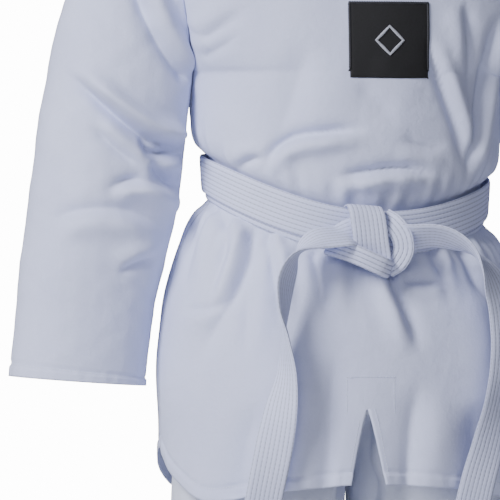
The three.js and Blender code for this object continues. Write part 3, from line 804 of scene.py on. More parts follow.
@dataclass
class JacketBody:
    """Front panel, back panel with its skirt, and the small pieces sewn on them."""

    step: float = 2.9
    length: float = 720.0
    neck_radius: float = 170.0
    side_radius: float = 175.0
    hem_depth: float = 14.0
    fold_gain: float = 1.9
    pleat_gain: float = 2.5
    slit_top: float = -612.0
    slit_half: float = 19.0
    slit_middle: float = -7.0
    slit_reach: float = 48.0
    front_hem: tuple[tuple[float, float], ...] = ((0, -692), (30, -699), (55, -711), (75, -686), (90, -657))
    back_hem: tuple[tuple[float, float], ...] = ((0, -702), (55, -706), (75, -684), (90, -657))

    def hem_height(self, angle: Array, side: Side) -> Array:
        """Height of the hem's edge at an angle from the middle."""
        keys = self.front_hem if side is Side.FRONT else self.back_hem
        return smooth_curve(keys, np.abs(np.degrees(angle)))

    def relief(self, points: Array, angle: Array, side: Side) -> Array:
        """Lift of folds, gathers beside the belt, seams and hem over the smooth body."""
        x, z = points[..., 0], points[..., 2]
        over = z - FORM.belt_height(angle, side)
        if side is Side.FRONT:
            lift = self.fold_gain * lift_of(FRONT_FOLDS, x, z) + self.pleat_gain * lift_of(SKIRT_FOLDS, x, z)
        else:
            lift = self.fold_gain * lift_of(BACK_FOLDS, x, z)
        run = angle * FORM.waist_x
        gather = ripples(11 + side.value, 5, 14, 34, run, np.zeros(run.shape))
        lift += 1.5 * gather * np.exp(-(((over - 40) / 16) ** 2))
        lift += 1.7 * gather * np.exp(-(((over + 44) / 26) ** 2))
        lift += 0.55 * ripples(5 + side.value, 7, 60, 150, x, z)
        lift += 1.6 * ripples(21 + side.value, 4, 90, 170, run, 0.15 * z) * smoothstep(-470, -640, z)
        free = 1 - np.exp(-((over / 25) ** 4))
        lift *= free
        side_gap = (math.pi / 2 - np.abs(angle)) * FORM.waist_x
        lift *= smoothstep(-2, 14, side_gap)
        lift -= 0.5 * np.exp(-side_gap / 2.5) * free
        above_hem = z - self.hem_height(angle, side)
        lift += hem_lift(above_hem, run, self.hem_depth)
        return lift

    def surface(self, angle: Array, z: Array, side: Side, lift: float = 0.0) -> tuple[Array, Array]:
        """Points of the draped cloth and their outward normals; lift stands pieces off it."""
        base = FORM.point(angle, z, side)
        normal = outward(base, (0, 0, 0))
        points = base + normal * (self.relief(base, angle, side) + lift)[..., None]
        return points, outward(points, (0, 0, 0))

    def rows(self, angle: Array, side: Side, low: Array) -> Array:
        """Heights of a grid: from low to the top edge, finer towards both shoulder and hem."""
        count = int(self.length / self.step)
        t = np.linspace(0, 1, count)
        t = np.where(t > 0.75, 0.75 + 0.25 * (1 - (1 - (t - 0.75) / 0.25) ** 1.6), t)
        top = FORM.top_edge(angle, side)
        return low[None, :] + (top - low)[None, :] * t[:, None]

    def panel_angles(self) -> Array:
        """Angles of a panel's columns, with one of them at the middle and two at the neck's ends."""
        neck = math.asin(FORM.neck_half / FORM.shoulder_x)
        inner = np.linspace(0, neck, int(neck * self.neck_radius / self.step))
        outer = np.linspace(neck, math.pi / 2, int((math.pi / 2 - neck) * self.side_radius / self.step))
        half = np.concatenate([inner, outer[1:]])
        return np.concatenate([-half[:0:-1], half])

    def slit(self, points: Array, half: int) -> Array:
        """Draws the columns beside the middle apart below the slit's top; half is -1 or 1."""
        x, z = points[..., 0], points[..., 2]
        below = (self.slit_top - z) / (self.slit_top - self.front_hem[0][1])
        open_by = self.slit_half * np.clip(below, 0, 1.3) ** 0.85
        share = np.clip(1 - np.abs(x) / self.slit_reach, 0, 1)
        moved = points.copy()
        drift = self.slit_middle * smoothstep(-520, -600, z)
        moved[..., 0] = x + (half * open_by + drift) * share
        moved[..., 1] -= 2.5 * share**2 * np.clip(open_by / self.slit_half, 0, 1)
        return moved

    def build_front(self) -> list[bpy.types.Object]:
        """Front panel: two half grids that share the middle column above the slit."""
        angle = self.panel_angles()
        low = self.hem_height(angle, Side.FRONT)
        z = self.rows(angle, Side.FRONT, low)
        grid_angle = np.broadcast_to(angle, z.shape)
        points, normals = self.surface(grid_angle, z, Side.FRONT)
        middle = len(angle) // 2
        halves = [self.slit(points[:, :middle + 1], -1), self.slit(points[:, middle:], 1)]
        rows, columns = halves[0].shape[:2]
        first = numbered(rows, columns)
        second = first + rows * columns
        shut = points[:, middle, 2] >= self.slit_top
        second[shut, 0] = first[shut, -1]
        flat = np.concatenate([h.reshape(-1, 3) for h in halves])
        uv = self.split(grid_uv(points).reshape(*z.shape, 2), middle)
        faces = np.concatenate([quads_of(first), quads_of(second)])
        facing = self.split(normals, middle)
        if faces_point_in(flat, faces, facing):
            faces = faces[:, ::-1]
        panel = make_object("front_panel_cloth", flat, faces, JACKET_CLOTH, uv)
        bpy.context.view_layer.update()
        drop_loose_points(panel)
        give_thickness(panel, CLOTH_WALL)
        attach(panel, "jacket")
        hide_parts("front_panel")
        return [panel, *self.front_stitches()]

    @staticmethod
    def split(grid: Array, middle: int) -> Array:
        """Rows of a grid's left half, then of its right half; both hold the middle column."""
        size = grid.shape[-1]
        return np.concatenate([grid[:, :middle + 1].reshape(-1, size), grid[:, middle:].reshape(-1, size)])

    def stitch_line(self, name: str, angle: Array, z: Array, side: Side) -> bpy.types.Object:
        """A row of stitches on the body along the given angles and heights."""
        pair_a = np.stack([angle, angle])
        pair_z = np.stack([z, z + 0.5])
        points, normals = self.surface(pair_a, pair_z, side, STITCH_LIFT)
        if side is Side.FRONT:
            mask = points[0, :, 0] >= 0
            points = np.where(mask[None, :, None], self.slit(points, 1), self.slit(points, -1))
        return STITCHING.along(name, points[0], normals[0])

    def front_stitches(self) -> list[bpy.types.Object]:
        """Hem rows on both sides of the slit, the slit's edges and the boxed stay above it."""
        made = []
        for hand in Hand:
            angle = np.linspace(0.14, 1.50, 160) * hand.value
            z = self.hem_height(angle, Side.FRONT) + self.hem_depth
            made.append(self.stitch_line(f"front_hem_stitches_{hand.word}", angle, z, Side.FRONT))
            z = np.linspace(self.slit_top + 2, -684, 60)
            angle = FORM.angle_of(np.full(60, hand.value * 7.0), z, Side.FRONT)
            made.append(self.stitch_line(f"slit_edge_stitches_{hand.word}", angle, z, Side.FRONT))
        corners = np.array([(-26, -617), (-26, -577), (26, -577), (26, -617)], float)
        box = np.concatenate([np.linspace(a, b, 24) for a, b in zip(corners[:-1], corners[1:])])
        angle = FORM.angle_of(box[:, 0], box[:, 1], Side.FRONT)
        made.append(self.stitch_line("slit_stay_stitches", angle, box[:, 1], Side.FRONT))
        for row in made:
            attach(row, "jacket")
        return made

    def build_back(self) -> list[bpy.types.Object]:
        """Back panel and back skirt as one cloth, with the hem stitches."""
        angle = self.panel_angles()
        z = self.rows(angle, Side.BACK, self.hem_height(angle, Side.BACK))
        points, normals = self.surface(np.broadcast_to(angle, z.shape), z, Side.BACK)
        panel = cloth_piece("back_panel_cloth", points, normals, JACKET_CLOTH, thickness=CLOTH_WALL)
        hem_angle = np.linspace(-1.50, 1.50, 320)
        hem_z = self.hem_height(hem_angle, Side.BACK) + self.hem_depth
        row = self.stitch_line("back_hem_stitches", hem_angle, hem_z, Side.BACK)
        for piece in (panel, row):
            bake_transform(piece)
        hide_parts("back_panel", "back_skirt")
        return [panel, row]

    def flat_piece(self, name: str, left: float, right: float, low: float, high: float, lift: float,
                   thickness: float, finish: PlainFinish | Cloth, side: Side = Side.FRONT,
                   bow: float = 0.0) -> bpy.types.Object:
        """A rectangle laid on the cloth; bow draws its side edges in at the middle."""
        u = np.linspace(-1, 1, 44)
        v = np.linspace(-1, 1, 42)
        uu, vv = np.meshgrid(u, v)
        x = (left + right) / 2 + (right - left) / 2 * uu * (1 - bow * (1 - vv**2))
        z = (low + high) / 2 + (high - low) / 2 * vv * (1 - bow * (1 - uu**2))
        angle = FORM.angle_of(x, z, side)
        edge = np.clip(np.maximum(np.abs(uu), np.abs(vv)), 0, 1)
        points, normals = self.surface(angle, z, side, lift)
        points = points - normals * (0.5 * np.sign(lift) * smoothstep(0.93, 1.0, edge))[..., None]
        return cloth_piece(name, points, normals, finish, thickness=thickness)

    def build_patch(self) -> list[bpy.types.Object]:
        """Square chest patch with an overlocked edge and a plain diamond in raised thread."""
        low = np.array(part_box("chest_patch")[0]) / MM
        high = np.array(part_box("chest_patch")[1]) / MM
        patch = self.flat_piece("chest_patch_weave", low[0], high[0], low[2], high[2], 1.3, 1.0, PATCH_WEAVE,
                                bow=-0.012)
        middle = ((low[0] + high[0]) / 2, (low[2] + high[2]) / 2)
        edge = self.border_cord((low[0], high[0]), (low[2], high[2]))
        motif = self.motif(middle)
        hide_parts("chest_patch")
        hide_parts("patch_motif")
        for piece, slot in ((patch, "patch"), (edge, "patch"), (motif, "motif")):
            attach(piece, "jacket")
        return [patch, edge, motif]

    def border_cord(self, across: tuple[float, float], up: tuple[float, float]) -> bpy.types.Object:
        """Overlock round the patch: a low cord whose radius swells once per stitch."""
        corners = np.array([(across[0], up[0]), (across[1], up[0]), (across[1], up[1]), (across[0], up[1])])
        corners = np.concatenate([corners, corners[:1]])
        line = np.concatenate([np.linspace(a, b, 130, endpoint=False)
                               for a, b in zip(corners[:-1], corners[1:])])
        angle = FORM.angle_of(line[:, 0], line[:, 1], Side.FRONT)
        height = line[:, 1]
        points, normals = self.surface(np.stack([angle, angle]), np.stack([height, height + 0.5]),
                                       Side.FRONT, 1.0)
        middle, normal = points[0], normals[0]
        ahead = unit(np.roll(middle, -1, axis=0) - np.roll(middle, 1, axis=0))
        side = np.cross(normal, ahead)
        turn = np.linspace(0, 2 * math.pi, 10, endpoint=False)
        swell = 1 + 0.18 * np.sin(np.arange(len(line)) * 2 * math.pi / 4)
        ring = (side[:, None] * np.cos(turn)[None, :, None] * 1.5
                + normal[:, None] * np.sin(turn)[None, :, None] * 0.9)
        rings = middle[:, None] + ring * swell[:, None, None]
        return tube_piece("chest_patch_overlock", rings, PATCH_EDGE, loop=True)

    def motif(self, middle: tuple[float, float], radius: float = 15.0, band: float = 3.2) -> bpy.types.Object:
        """A plain diamond outline: a ring whose radius follows |cos| + |sin| = 1, in satin stitch."""
        turn = np.linspace(0, 2 * math.pi, 240, endpoint=False)
        shape = radius / (np.abs(np.cos(turn)) + np.abs(np.sin(turn)))
        profile = np.linspace(0, 2 * math.pi, 12, endpoint=False)
        reach = shape[:, None] + band / 2 * np.cos(profile)[None, :]
        x = middle[0] + reach * np.cos(turn)[:, None]
        z = middle[1] + reach * np.sin(turn)[:, None]
        angle = FORM.angle_of(x, z, Side.FRONT)
        base = FORM.point(angle, z, Side.FRONT)
        flat_normal = np.array([0.0, -1.0, 0.0])
        relief = self.relief(base, angle, Side.FRONT)
        satin = 1 + 0.15 * np.sin(np.arange(len(turn)) * 2 * math.pi / 3)[:, None]
        lift = 1.9 + relief + 0.7 * np.sin(profile)[None, :] * satin
        rings = base + flat_normal * lift[..., None]
        return tube_piece("patch_motif_diamond", rings, MOTIF_THREAD, loop=True)

    def build_trims(self) -> list[bpy.types.Object]:
        """The stay behind the slit's top and the blank label behind the neck."""
        stay = self.flat_piece("slit_stay_cloth", -27, 27, -616, -577, -2.2, 0.8, STAY_CLOTH)
        label = self.flat_piece("neck_label_blank", -22, 22, -72, -42, -2.4, 0.5, LABEL_SATIN, Side.BACK)
        for piece, node, slot in ((stay, "slit_stay", "jacket_cloth"), (label, "neck_label", "label")):
            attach(piece, "jacket")
            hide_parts(node)
        return [stay, label]


def drop_loose_points(piece: bpy.types.Object) -> None:
    """Removes vertices that no face uses."""
    work = bmesh.new()
    work.from_mesh(piece.data)
    loose = [v for v in work.verts if not v.link_faces]
    bmesh.ops.delete(work, geom=loose, context="VERTS")
    work.to_mesh(piece.data)
    work.free()


@dataclass
class Collar:
    """Folded band round the V neck: two halves, mitred at the V and joined behind the neck."""

    width: float = 28.0
    stand: float = 15.0
    joint: float = 0.05
    thickness: float = 2.4

    def half(self, hand: Hand) -> tuple[Array, Array]:
        """Sewn edge and free edge of one half, from the V to the middle of the back."""
        t = np.linspace(0, 1, 70)
        tilt = math.atan2(FORM.neck_half, FORM.neck_depth)
        x = np.maximum(FORM.neck_half * t, self.joint)
        z = -FORM.neck_depth * (1 - t)
        free_x = x - self.width * math.cos(tilt)
        mitre = -FORM.neck_depth * (1 - self.width / math.cos(tilt) / FORM.neck_half)
        free_z = np.where(free_x > self.joint, z + self.width * math.sin(tilt), mitre)
        free_x = np.maximum(self.joint, free_x)
        sewn = FORM.point(FORM.angle_of(x, z, Side.FRONT), z, Side.FRONT) + np.array([0, -1.6, 1.0])
        low_z = np.minimum(free_z, -1.0)
        free = FORM.point(FORM.angle_of(free_x, low_z, Side.FRONT), low_z, Side.FRONT)
        free[:, 1] -= 1.6
        free[:, 2] = free_z
        turn = np.linspace(0, math.pi / 2, 70)[2:]
        back_x = np.maximum(self.joint, FORM.neck_half * np.cos(turn))
        edge_z = -FORM.neck_back_drop * (1 - (back_x / FORM.neck_half) ** 2)
        tuck = np.sin(turn) ** 0.5
        under = FORM.point(FORM.angle_of(back_x, edge_z - 3 * tuck, Side.BACK), edge_z - 3 * tuck, Side.BACK)
        under[:, 1] += 1.9 * tuck
        under[:, 2] += 1 - tuck
        sewn = np.concatenate([sewn, under])
        up = self.stand * (1 + 0.25 * np.sin(turn))
        free_x = np.maximum(self.joint, back_x * 0.75)
        free_back = np.stack([free_x, under[:, 1] * 0.8 - 1, edge_z + up], axis=1)
        free = np.concatenate([free, free_back])
        mirror = np.array([hand.value, 1, 1])
        return sewn * mirror, free * mirror

    def build(self) -> list[bpy.types.Object]:
        """Both halves with a row of stitches beside each edge."""
        made = []
        for hand in Hand:
            sewn, free = self.half(hand)
            t = np.linspace(0, 1, 16)
            points = sewn[:, None] * (1 - t)[None, :, None] + free[:, None] * t[None, :, None]
            for _ in range(3):
                points[1:-1] = (points[:-2] + 2 * points[1:-1] + points[2:]) / 4
            normal = grid_normals(points)
            if normal[10, 8, 1] > 0:
                normal = -normal
            points = points + normal * (0.7 * np.sin(t * math.pi))[None, :, None]
            band = cloth_piece(f"collar_band_{hand.word}", points, normal, STAY_CLOTH,
                               thickness=self.thickness)
            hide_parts(f"collar_{hand.word}")
            rows = [STITCHING.along(f"collar_stitches_{word}_{hand.word}", points[:, k] + normal[:, k] * 0.1,
                                    normal[:, k]) for word, k in (("sewn", 1), ("free", 13))]
            for piece in (band, *rows):
                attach(piece, "jacket")
            made += [band, *rows]
        return made


# ------------------------------------------------------------------ sleeves
RIGHT_SLEEVE_FOLDS = (
    Fold(((-318, -246), (-290, -276), (-256, -305), (-222, -326),
          (-176, -334)), 10.5, 6.5, 0.9, 1, (0.35, 0.15)),
    Fold(((-248, -150), (-232, -190), (-208, -232), (-176, -262)), 7.0, 8.0, 0.8, 1, (0.3, 0.1)),
    Fold(((-292, -306), (-268, -331), (-246, -346), (-222, -356)), 4.0, 6.0, 0.8, 1),
    Fold(((-240, -322), (-220, -341), (-178, -338)), 9.0, 6.0, 0.3, -1, (0.3, 0.05)),
    Fold(((-228, -346), (-206, -366), (-180, -376)), 9.0, 9.0, 0.5, -1, (0.3, 0.05)),
    Fold(((-276, -385), (-262, -371), (-242, -366), (-218, -370),
          (-184, -385)), 5.5, 5.5, 0.9, -1, (0.3, 0.5)),
    Fold(((-336, -410), (-300, -398), (-252, -398), (-222, -410),
          (-196, -430)), 4.5, 8.0, 0.8, -1, (0.2, 0.4)),
    Fold(((-262, -470), (-236, -455), (-202, -449)), 4.5, 6.0, 0.8, 1, (0.4, 0.5)),
    Fold(((-330, -330), (-318, -380), (-326, -440)), 2.2, 16.0, 0.4, 1),
    Fold(((-266, -110), (-246, -158), (-214, -205)), 4.5, 9.0, 0.6, 1),
    Fold(((-236, -86), (-216, -130), (-196, -182)), 4.0, 8.0, 0.6, 1),
)

SLEEVE_BACK_FOLDS = (
    Fold(((-300, -240), (-260, -280), (-215, -300)), 5.0, 8.0, 0.8, 1),
    Fold(((-330, -380), (-280, -385), (-225, -370)), 5.0, 7.0, 0.8, -1),
    Fold(((-335, -410), (-285, -418), (-215, -405)), 4.0, 7.0, 0.8, -1),
    Fold(((-250, -130), (-225, -180), (-195, -220)), 4.0, 8.0, 0.7, 1),
    Fold(((-300, -470), (-270, -520)), 3.0, 12.0, 0.5, 1),
)


@dataclass
class Sleeve:
    """One wide sleeve from its armhole seam to its hemmed cuff."""

    hand: Hand
    step: float = 2.6
    length: float = 560.0
    fold_gain: float = 1.8
    outer: tuple[tuple[float, float], ...] = (
        (212.6, -48.6), (268, -108), (308, -170), (325, -236), (339, -319), (350, -400),
        (361, -505), (368, -579))
    inner: tuple[tuple[float, float], ...] = (
        (171.4, -251.4), (173.6, -276), (177, -312), (180, -352), (186, -400), (199, -456),
        (213, -524), (219, -590))
    depths: tuple[float, ...] = (49.5, 56, 62, 64, 63, 61, 59, 57)
    middles: tuple[float, ...] = (2.5, 3.5, 7, 10, 12, 14, 16, 17)
    hem_depth: float = 14.0
    around: int = 168
    radius: float = 66.0

    def grid(self) -> tuple[Array, Array, Array]:
        """Rings from armhole to cuff: centre + across * cos(turn) + depth * sin(turn), then the relief.

        Returns:
            Points, outward normals and the angle round the sleeve.
        """
        rows = int(self.length / self.step)
        outer = spline(self.outer, rows)
        inner = spline(self.inner, rows)
        keys = np.linspace(0, 1, len(self.depths))
        at = np.linspace(0, 1, rows)
        depth = smooth_curve(tuple(zip(keys, self.depths)), at)
        y = smooth_curve(tuple(zip(keys, self.middles)), at)
        turn = np.linspace(0, 2 * math.pi, self.around, endpoint=False)
        cos, sin = np.cos(turn)[None, :], np.sin(turn)[None, :]
        middle, half = (outer + inner) / 2, (outer - inner) / 2
        x = middle[:, :1] + half[:, :1] * cos
        z = middle[:, 1:] + half[:, 1:] * cos
        points = np.stack([-x, y[:, None] - depth[:, None] * sin, z], axis=-1)
        normal = self.facing(points)
        points = points + normal * self.relief(points, normal, at, turn)[..., None]
        normal = self.facing(points)
        mirror = np.array([-self.hand.value, 1, 1])
        return points * mirror, normal * mirror, turn

    def facing(self, points: Array) -> Array:
        """Unit normals of the right sleeve's rings, turned outwards by the column at the front."""
        normal = grid_normals(points, ring=True)
        return -normal if np.mean(normal[:, self.around // 4, 1]) > 0 else normal

    def relief(self, points: Array, normal: Array, at: Array, turn: Array) -> Array:
        """Lift of the folds on the sleeve's front and back, its calm ripples, seam and hem."""
        x, z = points[..., 0], points[..., 2]
        front = smoothstep(0.12, 0.7, -normal[..., 1])
        back = smoothstep(0.12, 0.7, normal[..., 1])
        shift = 0.0 if self.hand is Hand.RIGHT else 9.0
        lift = self.fold_gain * lift_of(RIGHT_SLEEVE_FOLDS, x + shift, z - 1.2 * shift) * front
        lift += self.fold_gain * lift_of(SLEEVE_BACK_FOLDS, x - shift, z + shift) * back
        seed = 31 + self.hand.value
        lift += 0.7 * ripples(seed, 7, 60, 150, x, z) + 0.25 * ripples(seed + 7, 6, 18, 40, x, z)
        from_seam = (at * self.length)[:, None]
        lift *= smoothstep(0, 26, from_seam)
        lift -= 1.2 * np.exp(-from_seam / 2.5)
        from_hem = self.length - from_seam
        around = np.broadcast_to(turn * self.radius, x.shape)
        lift *= 0.35 + 0.65 * smoothstep(4, 40, np.broadcast_to(from_hem, x.shape))
        return lift + hem_lift(np.broadcast_to(from_hem, x.shape), around, self.hem_depth)

    def build(self) -> list[bpy.types.Object]:
        """The sleeve and its hem stitches."""
        points, normal, _ = self.grid()
        word = self.hand.word
        cloth = cloth_piece(f"{word}_sleeve_cloth", points, normal, JACKET_CLOTH, ring=True,
                            thickness=CLOTH_WALL)
        row = points.shape[0] - 1 - int(self.hem_depth / self.step)
        closed = np.concatenate([points[row], points[row, :1]])
        facing = np.concatenate([normal[row], normal[row, :1]])
        hem = STITCHING.along(f"{word}_cuff_stitches", closed + facing * STITCH_LIFT, facing)
        for piece in (cloth, hem):
            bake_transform(piece)
        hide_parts(f"{word}_sleeve")
        return [cloth, hem]


# ------------------------------------------------------------------ the belt
@dataclass(frozen=True)
class BeltStrip:
    """Section of the belt: rounded edges and ribs between rows of stitching."""

    half_width: float = 20.0
    flat_width: float = 0.040
    thickness: float = 4.0
    row_gap: float = 4.8
    stitch_pitch: float = 5.0
    groove: float = 0.5
    samples: int = 66

    def section(self, along: Array, half_width: Array | float | None = None) -> tuple[Array, Array]:
        """Offsets of the section at each distance along the strip.

        The half thickness is T/2 * (1 - |w|^7)^0.5, less a groove that deepens to the power 6
        towards each row and tightens once per stitch.

        Args:
            along: distances along the strip, in millimetres.
            half_width: half width there; the strip's own by default.

        Returns:
            Across and out offsets, one row per distance, running round the section.
        """
        wide = np.broadcast_to(self.half_width if half_width is None else half_width, along.shape)[:, None]
        w = np.sin(np.linspace(-1, 1, self.samples) * math.pi / 2 * 0.985) / math.sin(math.pi / 2 * 0.985)
        w = 0.25 * w + 0.75 * np.linspace(-1, 1, self.samples)
        across = wide * w[None, :]
        phase = np.mod(across / self.row_gap, 1.0)
        near_row = np.abs(2 * phase - 1)
        tight = 0.62 + 0.38 * np.cos(2 * math.pi * along / self.stitch_pitch)[:, None]
        half = self.thickness / 2 * np.sqrt(np.clip(1 - np.abs(w[None, :]) ** 7, 0, 1))
        half = half * (1 - self.groove * near_row**6 * tight)
        back = half[:, ::-1]
        return np.concatenate([across, across[:, ::-1]], axis=1), np.concatenate([half, -back], axis=1)

    def sweep(self, name: str, path: Array, across: Array, loop: bool = False,
              half_width: Array | float | None = None) -> bpy.types.Object:
        """Carries the section along a path.

        Args:
            name: the piece's name.
            path: points of the middle line.
            across: direction of the width at each point.
            loop: whether the path closes.
            half_width: half width at each point.

        Returns:
            The finished strip.
        """
        if loop:
            ahead = np.roll(path, -1, axis=0) - np.roll(path, 1, axis=0)
        else:
            ahead = np.gradient(path, axis=0)
        ahead = unit(ahead)
        across = unit(across - ahead * np.sum(across * ahead, axis=1, keepdims=True))
        out = np.cross(ahead, across)
        along = distances(path)
        sideways, outwards = self.section(along, half_width)
        rings = path[:, None] + across[:, None] * sideways[..., None] + out[:, None] * outwards[..., None]
        lengthways = np.broadcast_to(along[:, None], sideways.shape)
        uv = np.stack([lengthways, sideways], axis=-1).reshape(-1, 2) * MM
        return tube_piece(name, rings, BELT_CLOTH, uv, loop)


STRIP = BeltStrip()


@dataclass
class Belt:
    """The belt: two wraps round the waist, a flat knot and two tails."""

    step: float = 1.3
    layer_shift: float = 4.0
    girth: float = 835.0
    lengths: dict[str, float] = field(default_factory=dict)
    right_tail: tuple = (
        ((-6, -121, -424), (0, 0.2, 0.95)), ((-20, -131, -425), (0.05, 0.6, 0.75)),
        ((-36, -138, -427), (0.1, 0.85, 0.5)), ((-63, -143, -431), (0.25, 0.8, 0.55)),
        ((-84, -147, -446), (0.55, 0.75, 0.4)), ((-96, -149, -470), (0.65, 0.75, 0.1)),
        ((-100, -151, -500), (0.5, 0.88, 0)), ((-99, -153, -535), (0.05, 1, 0)),
        ((-98, -154, -575), (-0.35, 0.94, 0)), ((-104, -153, -612), (-0.75, 0.66, 0)),
        ((-112, -152, -655), (-0.96, 0.28, 0.1)), ((-121, -151, -700), (-1, 0.05, 0.15)),
        ((-130, -150, -750), (-1, 0, 0.15)), ((-137, -150, -796), (-1, 0, 0.15)))
    left_tail: tuple = (
        ((16, -119, -433), (0, 0.15, -1)), ((32, -127, -430), (0, 0.5, -0.85)),
        ((48, -133, -428), (0, 0.75, -0.66)), ((68, -139, -427), (0.05, 0.8, -0.6)),
        ((95, -140, -436), (0.25, 0.8, -0.45)), ((122, -136, -458), (0.6, 0.75, -0.2)),
        ((140, -130, -490), (0.85, 0.5, 0)), ((148, -128, -530), (0.93, 0.36, 0)),
        ((146, -129, -570), (0.9, 0.42, -0.05)), ((137, -133, -610), (0.85, 0.5, -0.1)),
        ((126, -138, -650), (0.93, 0.3, -0.15)), ((114, -141, -690), (0.98, 0.15, -0.18)),
        ((102, -143, -740), (0.98, 0.1, -0.18)), ((93, -144, -790), (0.98, 0.1, -0.18)))

    def wrap(self, name: str, lift: float, shift: float, step: float) -> bpy.types.Object:
        """One turn round the waist, lift mm off the cloth and shift mm above the belt line."""
        count = int(self.girth / step)
        turn = np.linspace(0, 2 * math.pi, count * 4, endpoint=False)
        front = np.cos(turn) >= 0
        angle = np.arcsin(np.clip(np.sin(turn), -1, 1))
        z = np.where(front, FORM.belt_height(angle, Side.FRONT), FORM.belt_height(angle, Side.BACK)) + shift
        y = (FORM.waist_y + lift) * np.abs(np.cos(turn)) ** 0.9 * np.where(front, -1, 1)
        path = np.stack([(FORM.waist_x + lift) * np.sin(turn), y, z], axis=1)
        run = distances(path)
        even = np.linspace(0, run[-1] + run[1], count, endpoint=False)
        path = read_rows(even, run, path)
        for _ in range(6):
            path = (np.roll(path, 1, axis=0) + 2 * path + np.roll(path, -1, axis=0)) / 4
        across = np.tile([0.0, 0.0, 1.0], (count, 1)) + path * [0.0004, 0.0004, 0]
        self.lengths[name] = path_length(path, closed=True)
        return STRIP.sweep(name, path, across, loop=True)

    def tail(self, hand: Hand) -> bpy.types.Object:
        """A hanging end: stations of middle point and width direction, joined smoothly."""
        stations = self.right_tail if hand is Hand.RIGHT else self.left_tail
        middles = np.array([s[0] for s in stations], float)
        run = distances(middles)
        count = int(run[-1] / self.step)
        path = spline(middles, count)
        keys = run / run[-1]
        ways = np.array([s[1] for s in stations], float)
        at = np.linspace(0, 1, count)
        across = np.stack([smooth_curve(tuple(zip(keys, ways[:, k])), at) for k in range(3)], axis=1)
        name = f"belt_tail_{hand.word}_cloth"
        self.lengths[name] = path_length(path)
        return STRIP.sweep(name, path, across)

    def knot(self) -> list[tuple[bpy.types.Object, str]]:
        """The knot's visible stretches, each with the frame node it stands for."""
        count = 60

        def band(name: str, path: list, width_way: list, half: float | Array, thick: float = 4.0):
            strip = BeltStrip(thickness=thick)
            points = spline(path, count)
            ways = np.linspace(width_way[0], width_way[1], count)
            self.lengths[name.removesuffix("_cloth")] = path_length(points)
            return strip.sweep(name, points, ways, half_width=half)

        front = band("knot_front_band_cloth",
                     [(-9, -119, -397), (-8, -129, -396), (-7, -137, -402), (-5, -141, -418),
                      (-3, -141, -436),
                      (0, -136, -450), (3, -126, -456)],
                     [(1, 0, -0.05), (1, 0, -0.30)], np.linspace(20, 19, count))
        lower = band("knot_lower_loop_cloth",
                     [(-46, -121, -437), (-38, -134, -440), (-22, -144, -446), (-4, -147, -454),
                      (10, -144, -460),
                      (17, -134, -462), (16, -122, -458)],
                     [(0.3, -0.3, 0.9), (0.3, -0.3, 0.9)], 10.5, 8.0)
        right = band("knot_right_loop_cloth",
                     [(14, -122, -408), (22, -133, -414), (31, -138, -428), (33, -138, -441),
                      (27, -136, -454),
                      (17, -128, -462)],
                     [(0.75, -0.2, 0.5), (0.85, -0.2, -0.5)], np.linspace(12.5, 11, count), 6.0)
        core = band("knot_core_cloth",
                    [(-30, -122, -430), (-14, -126, -427), (4, -127, -427), (24, -124, -429)],
                    [(0, 0, 1), (0, 0, 1)], np.linspace(17, 18, count), 6.0)
        return [(front, "knot_front_band"), (lower, "knot_lower_loop"), (right, "knot_right_loop"),
                (core, "knot_core")]

    def build(self) -> list[bpy.types.Object]:
        """Both wraps, the knot and both tails."""
        inner = self.wrap("belt_inner_wrap_cloth", 2.9, -self.layer_shift, 2.6)
        outer = self.wrap("belt_outer_wrap_cloth", 7.3, self.layer_shift, self.step)
        riding = [(inner, "belt_inner_wrap"), (outer, "belt_outer_wrap"), *self.knot()]
        for piece, node in riding:
            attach(piece, "jacket")
            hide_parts(node)
        tails = []
        for hand in Hand:
            piece = self.tail(hand)
            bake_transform(piece)
            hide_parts(f"belt_tail_{hand.word}")
            tails.append(piece)
        return [piece for piece, _ in riding] + tails


# ------------------------------------------------------------------ trousers
TROUSER_FOLDS = (
    Fold(((6, -600), (14, -640), (10, -668), (22, -700), (16, -740)), 7.0, 7.0, 0.8, 1, (0.2, 0.4)),
    Fold(((160, -620), (110, -655), (50, -672)), 4.5, 9.0, 0.7, 1),
    Fold(((170, -700), (120, -730), (60, -735)), 3.0, 10.0, 0.6, -1),
    Fold(((50, -880), (100, -905), (160, -895)), 4.0, 9.0, 0.8, -1),
    Fold(((45, -945), (100, -960), (170, -940)), 4.5, 9.0, 0.8, -1),
    Fold(((60, -1000), (110, -1010), (165, -1000)), 3.0, 10.0, 0.6, -1),
    Fold(((80, -740), (92, -900), (104, -1100), (116, -1300)), 3.5, 9.0, -0.7, 1, (0.2, 0.15)),
    Fold(((55, -1250), (110, -1268), (180, -1250)), 4.0, 10.0, 0.8, -1),
    Fold(((60, -1310), (120, -1322), (190, -1300)), 4.0, 9.0, 0.8, -1),
)


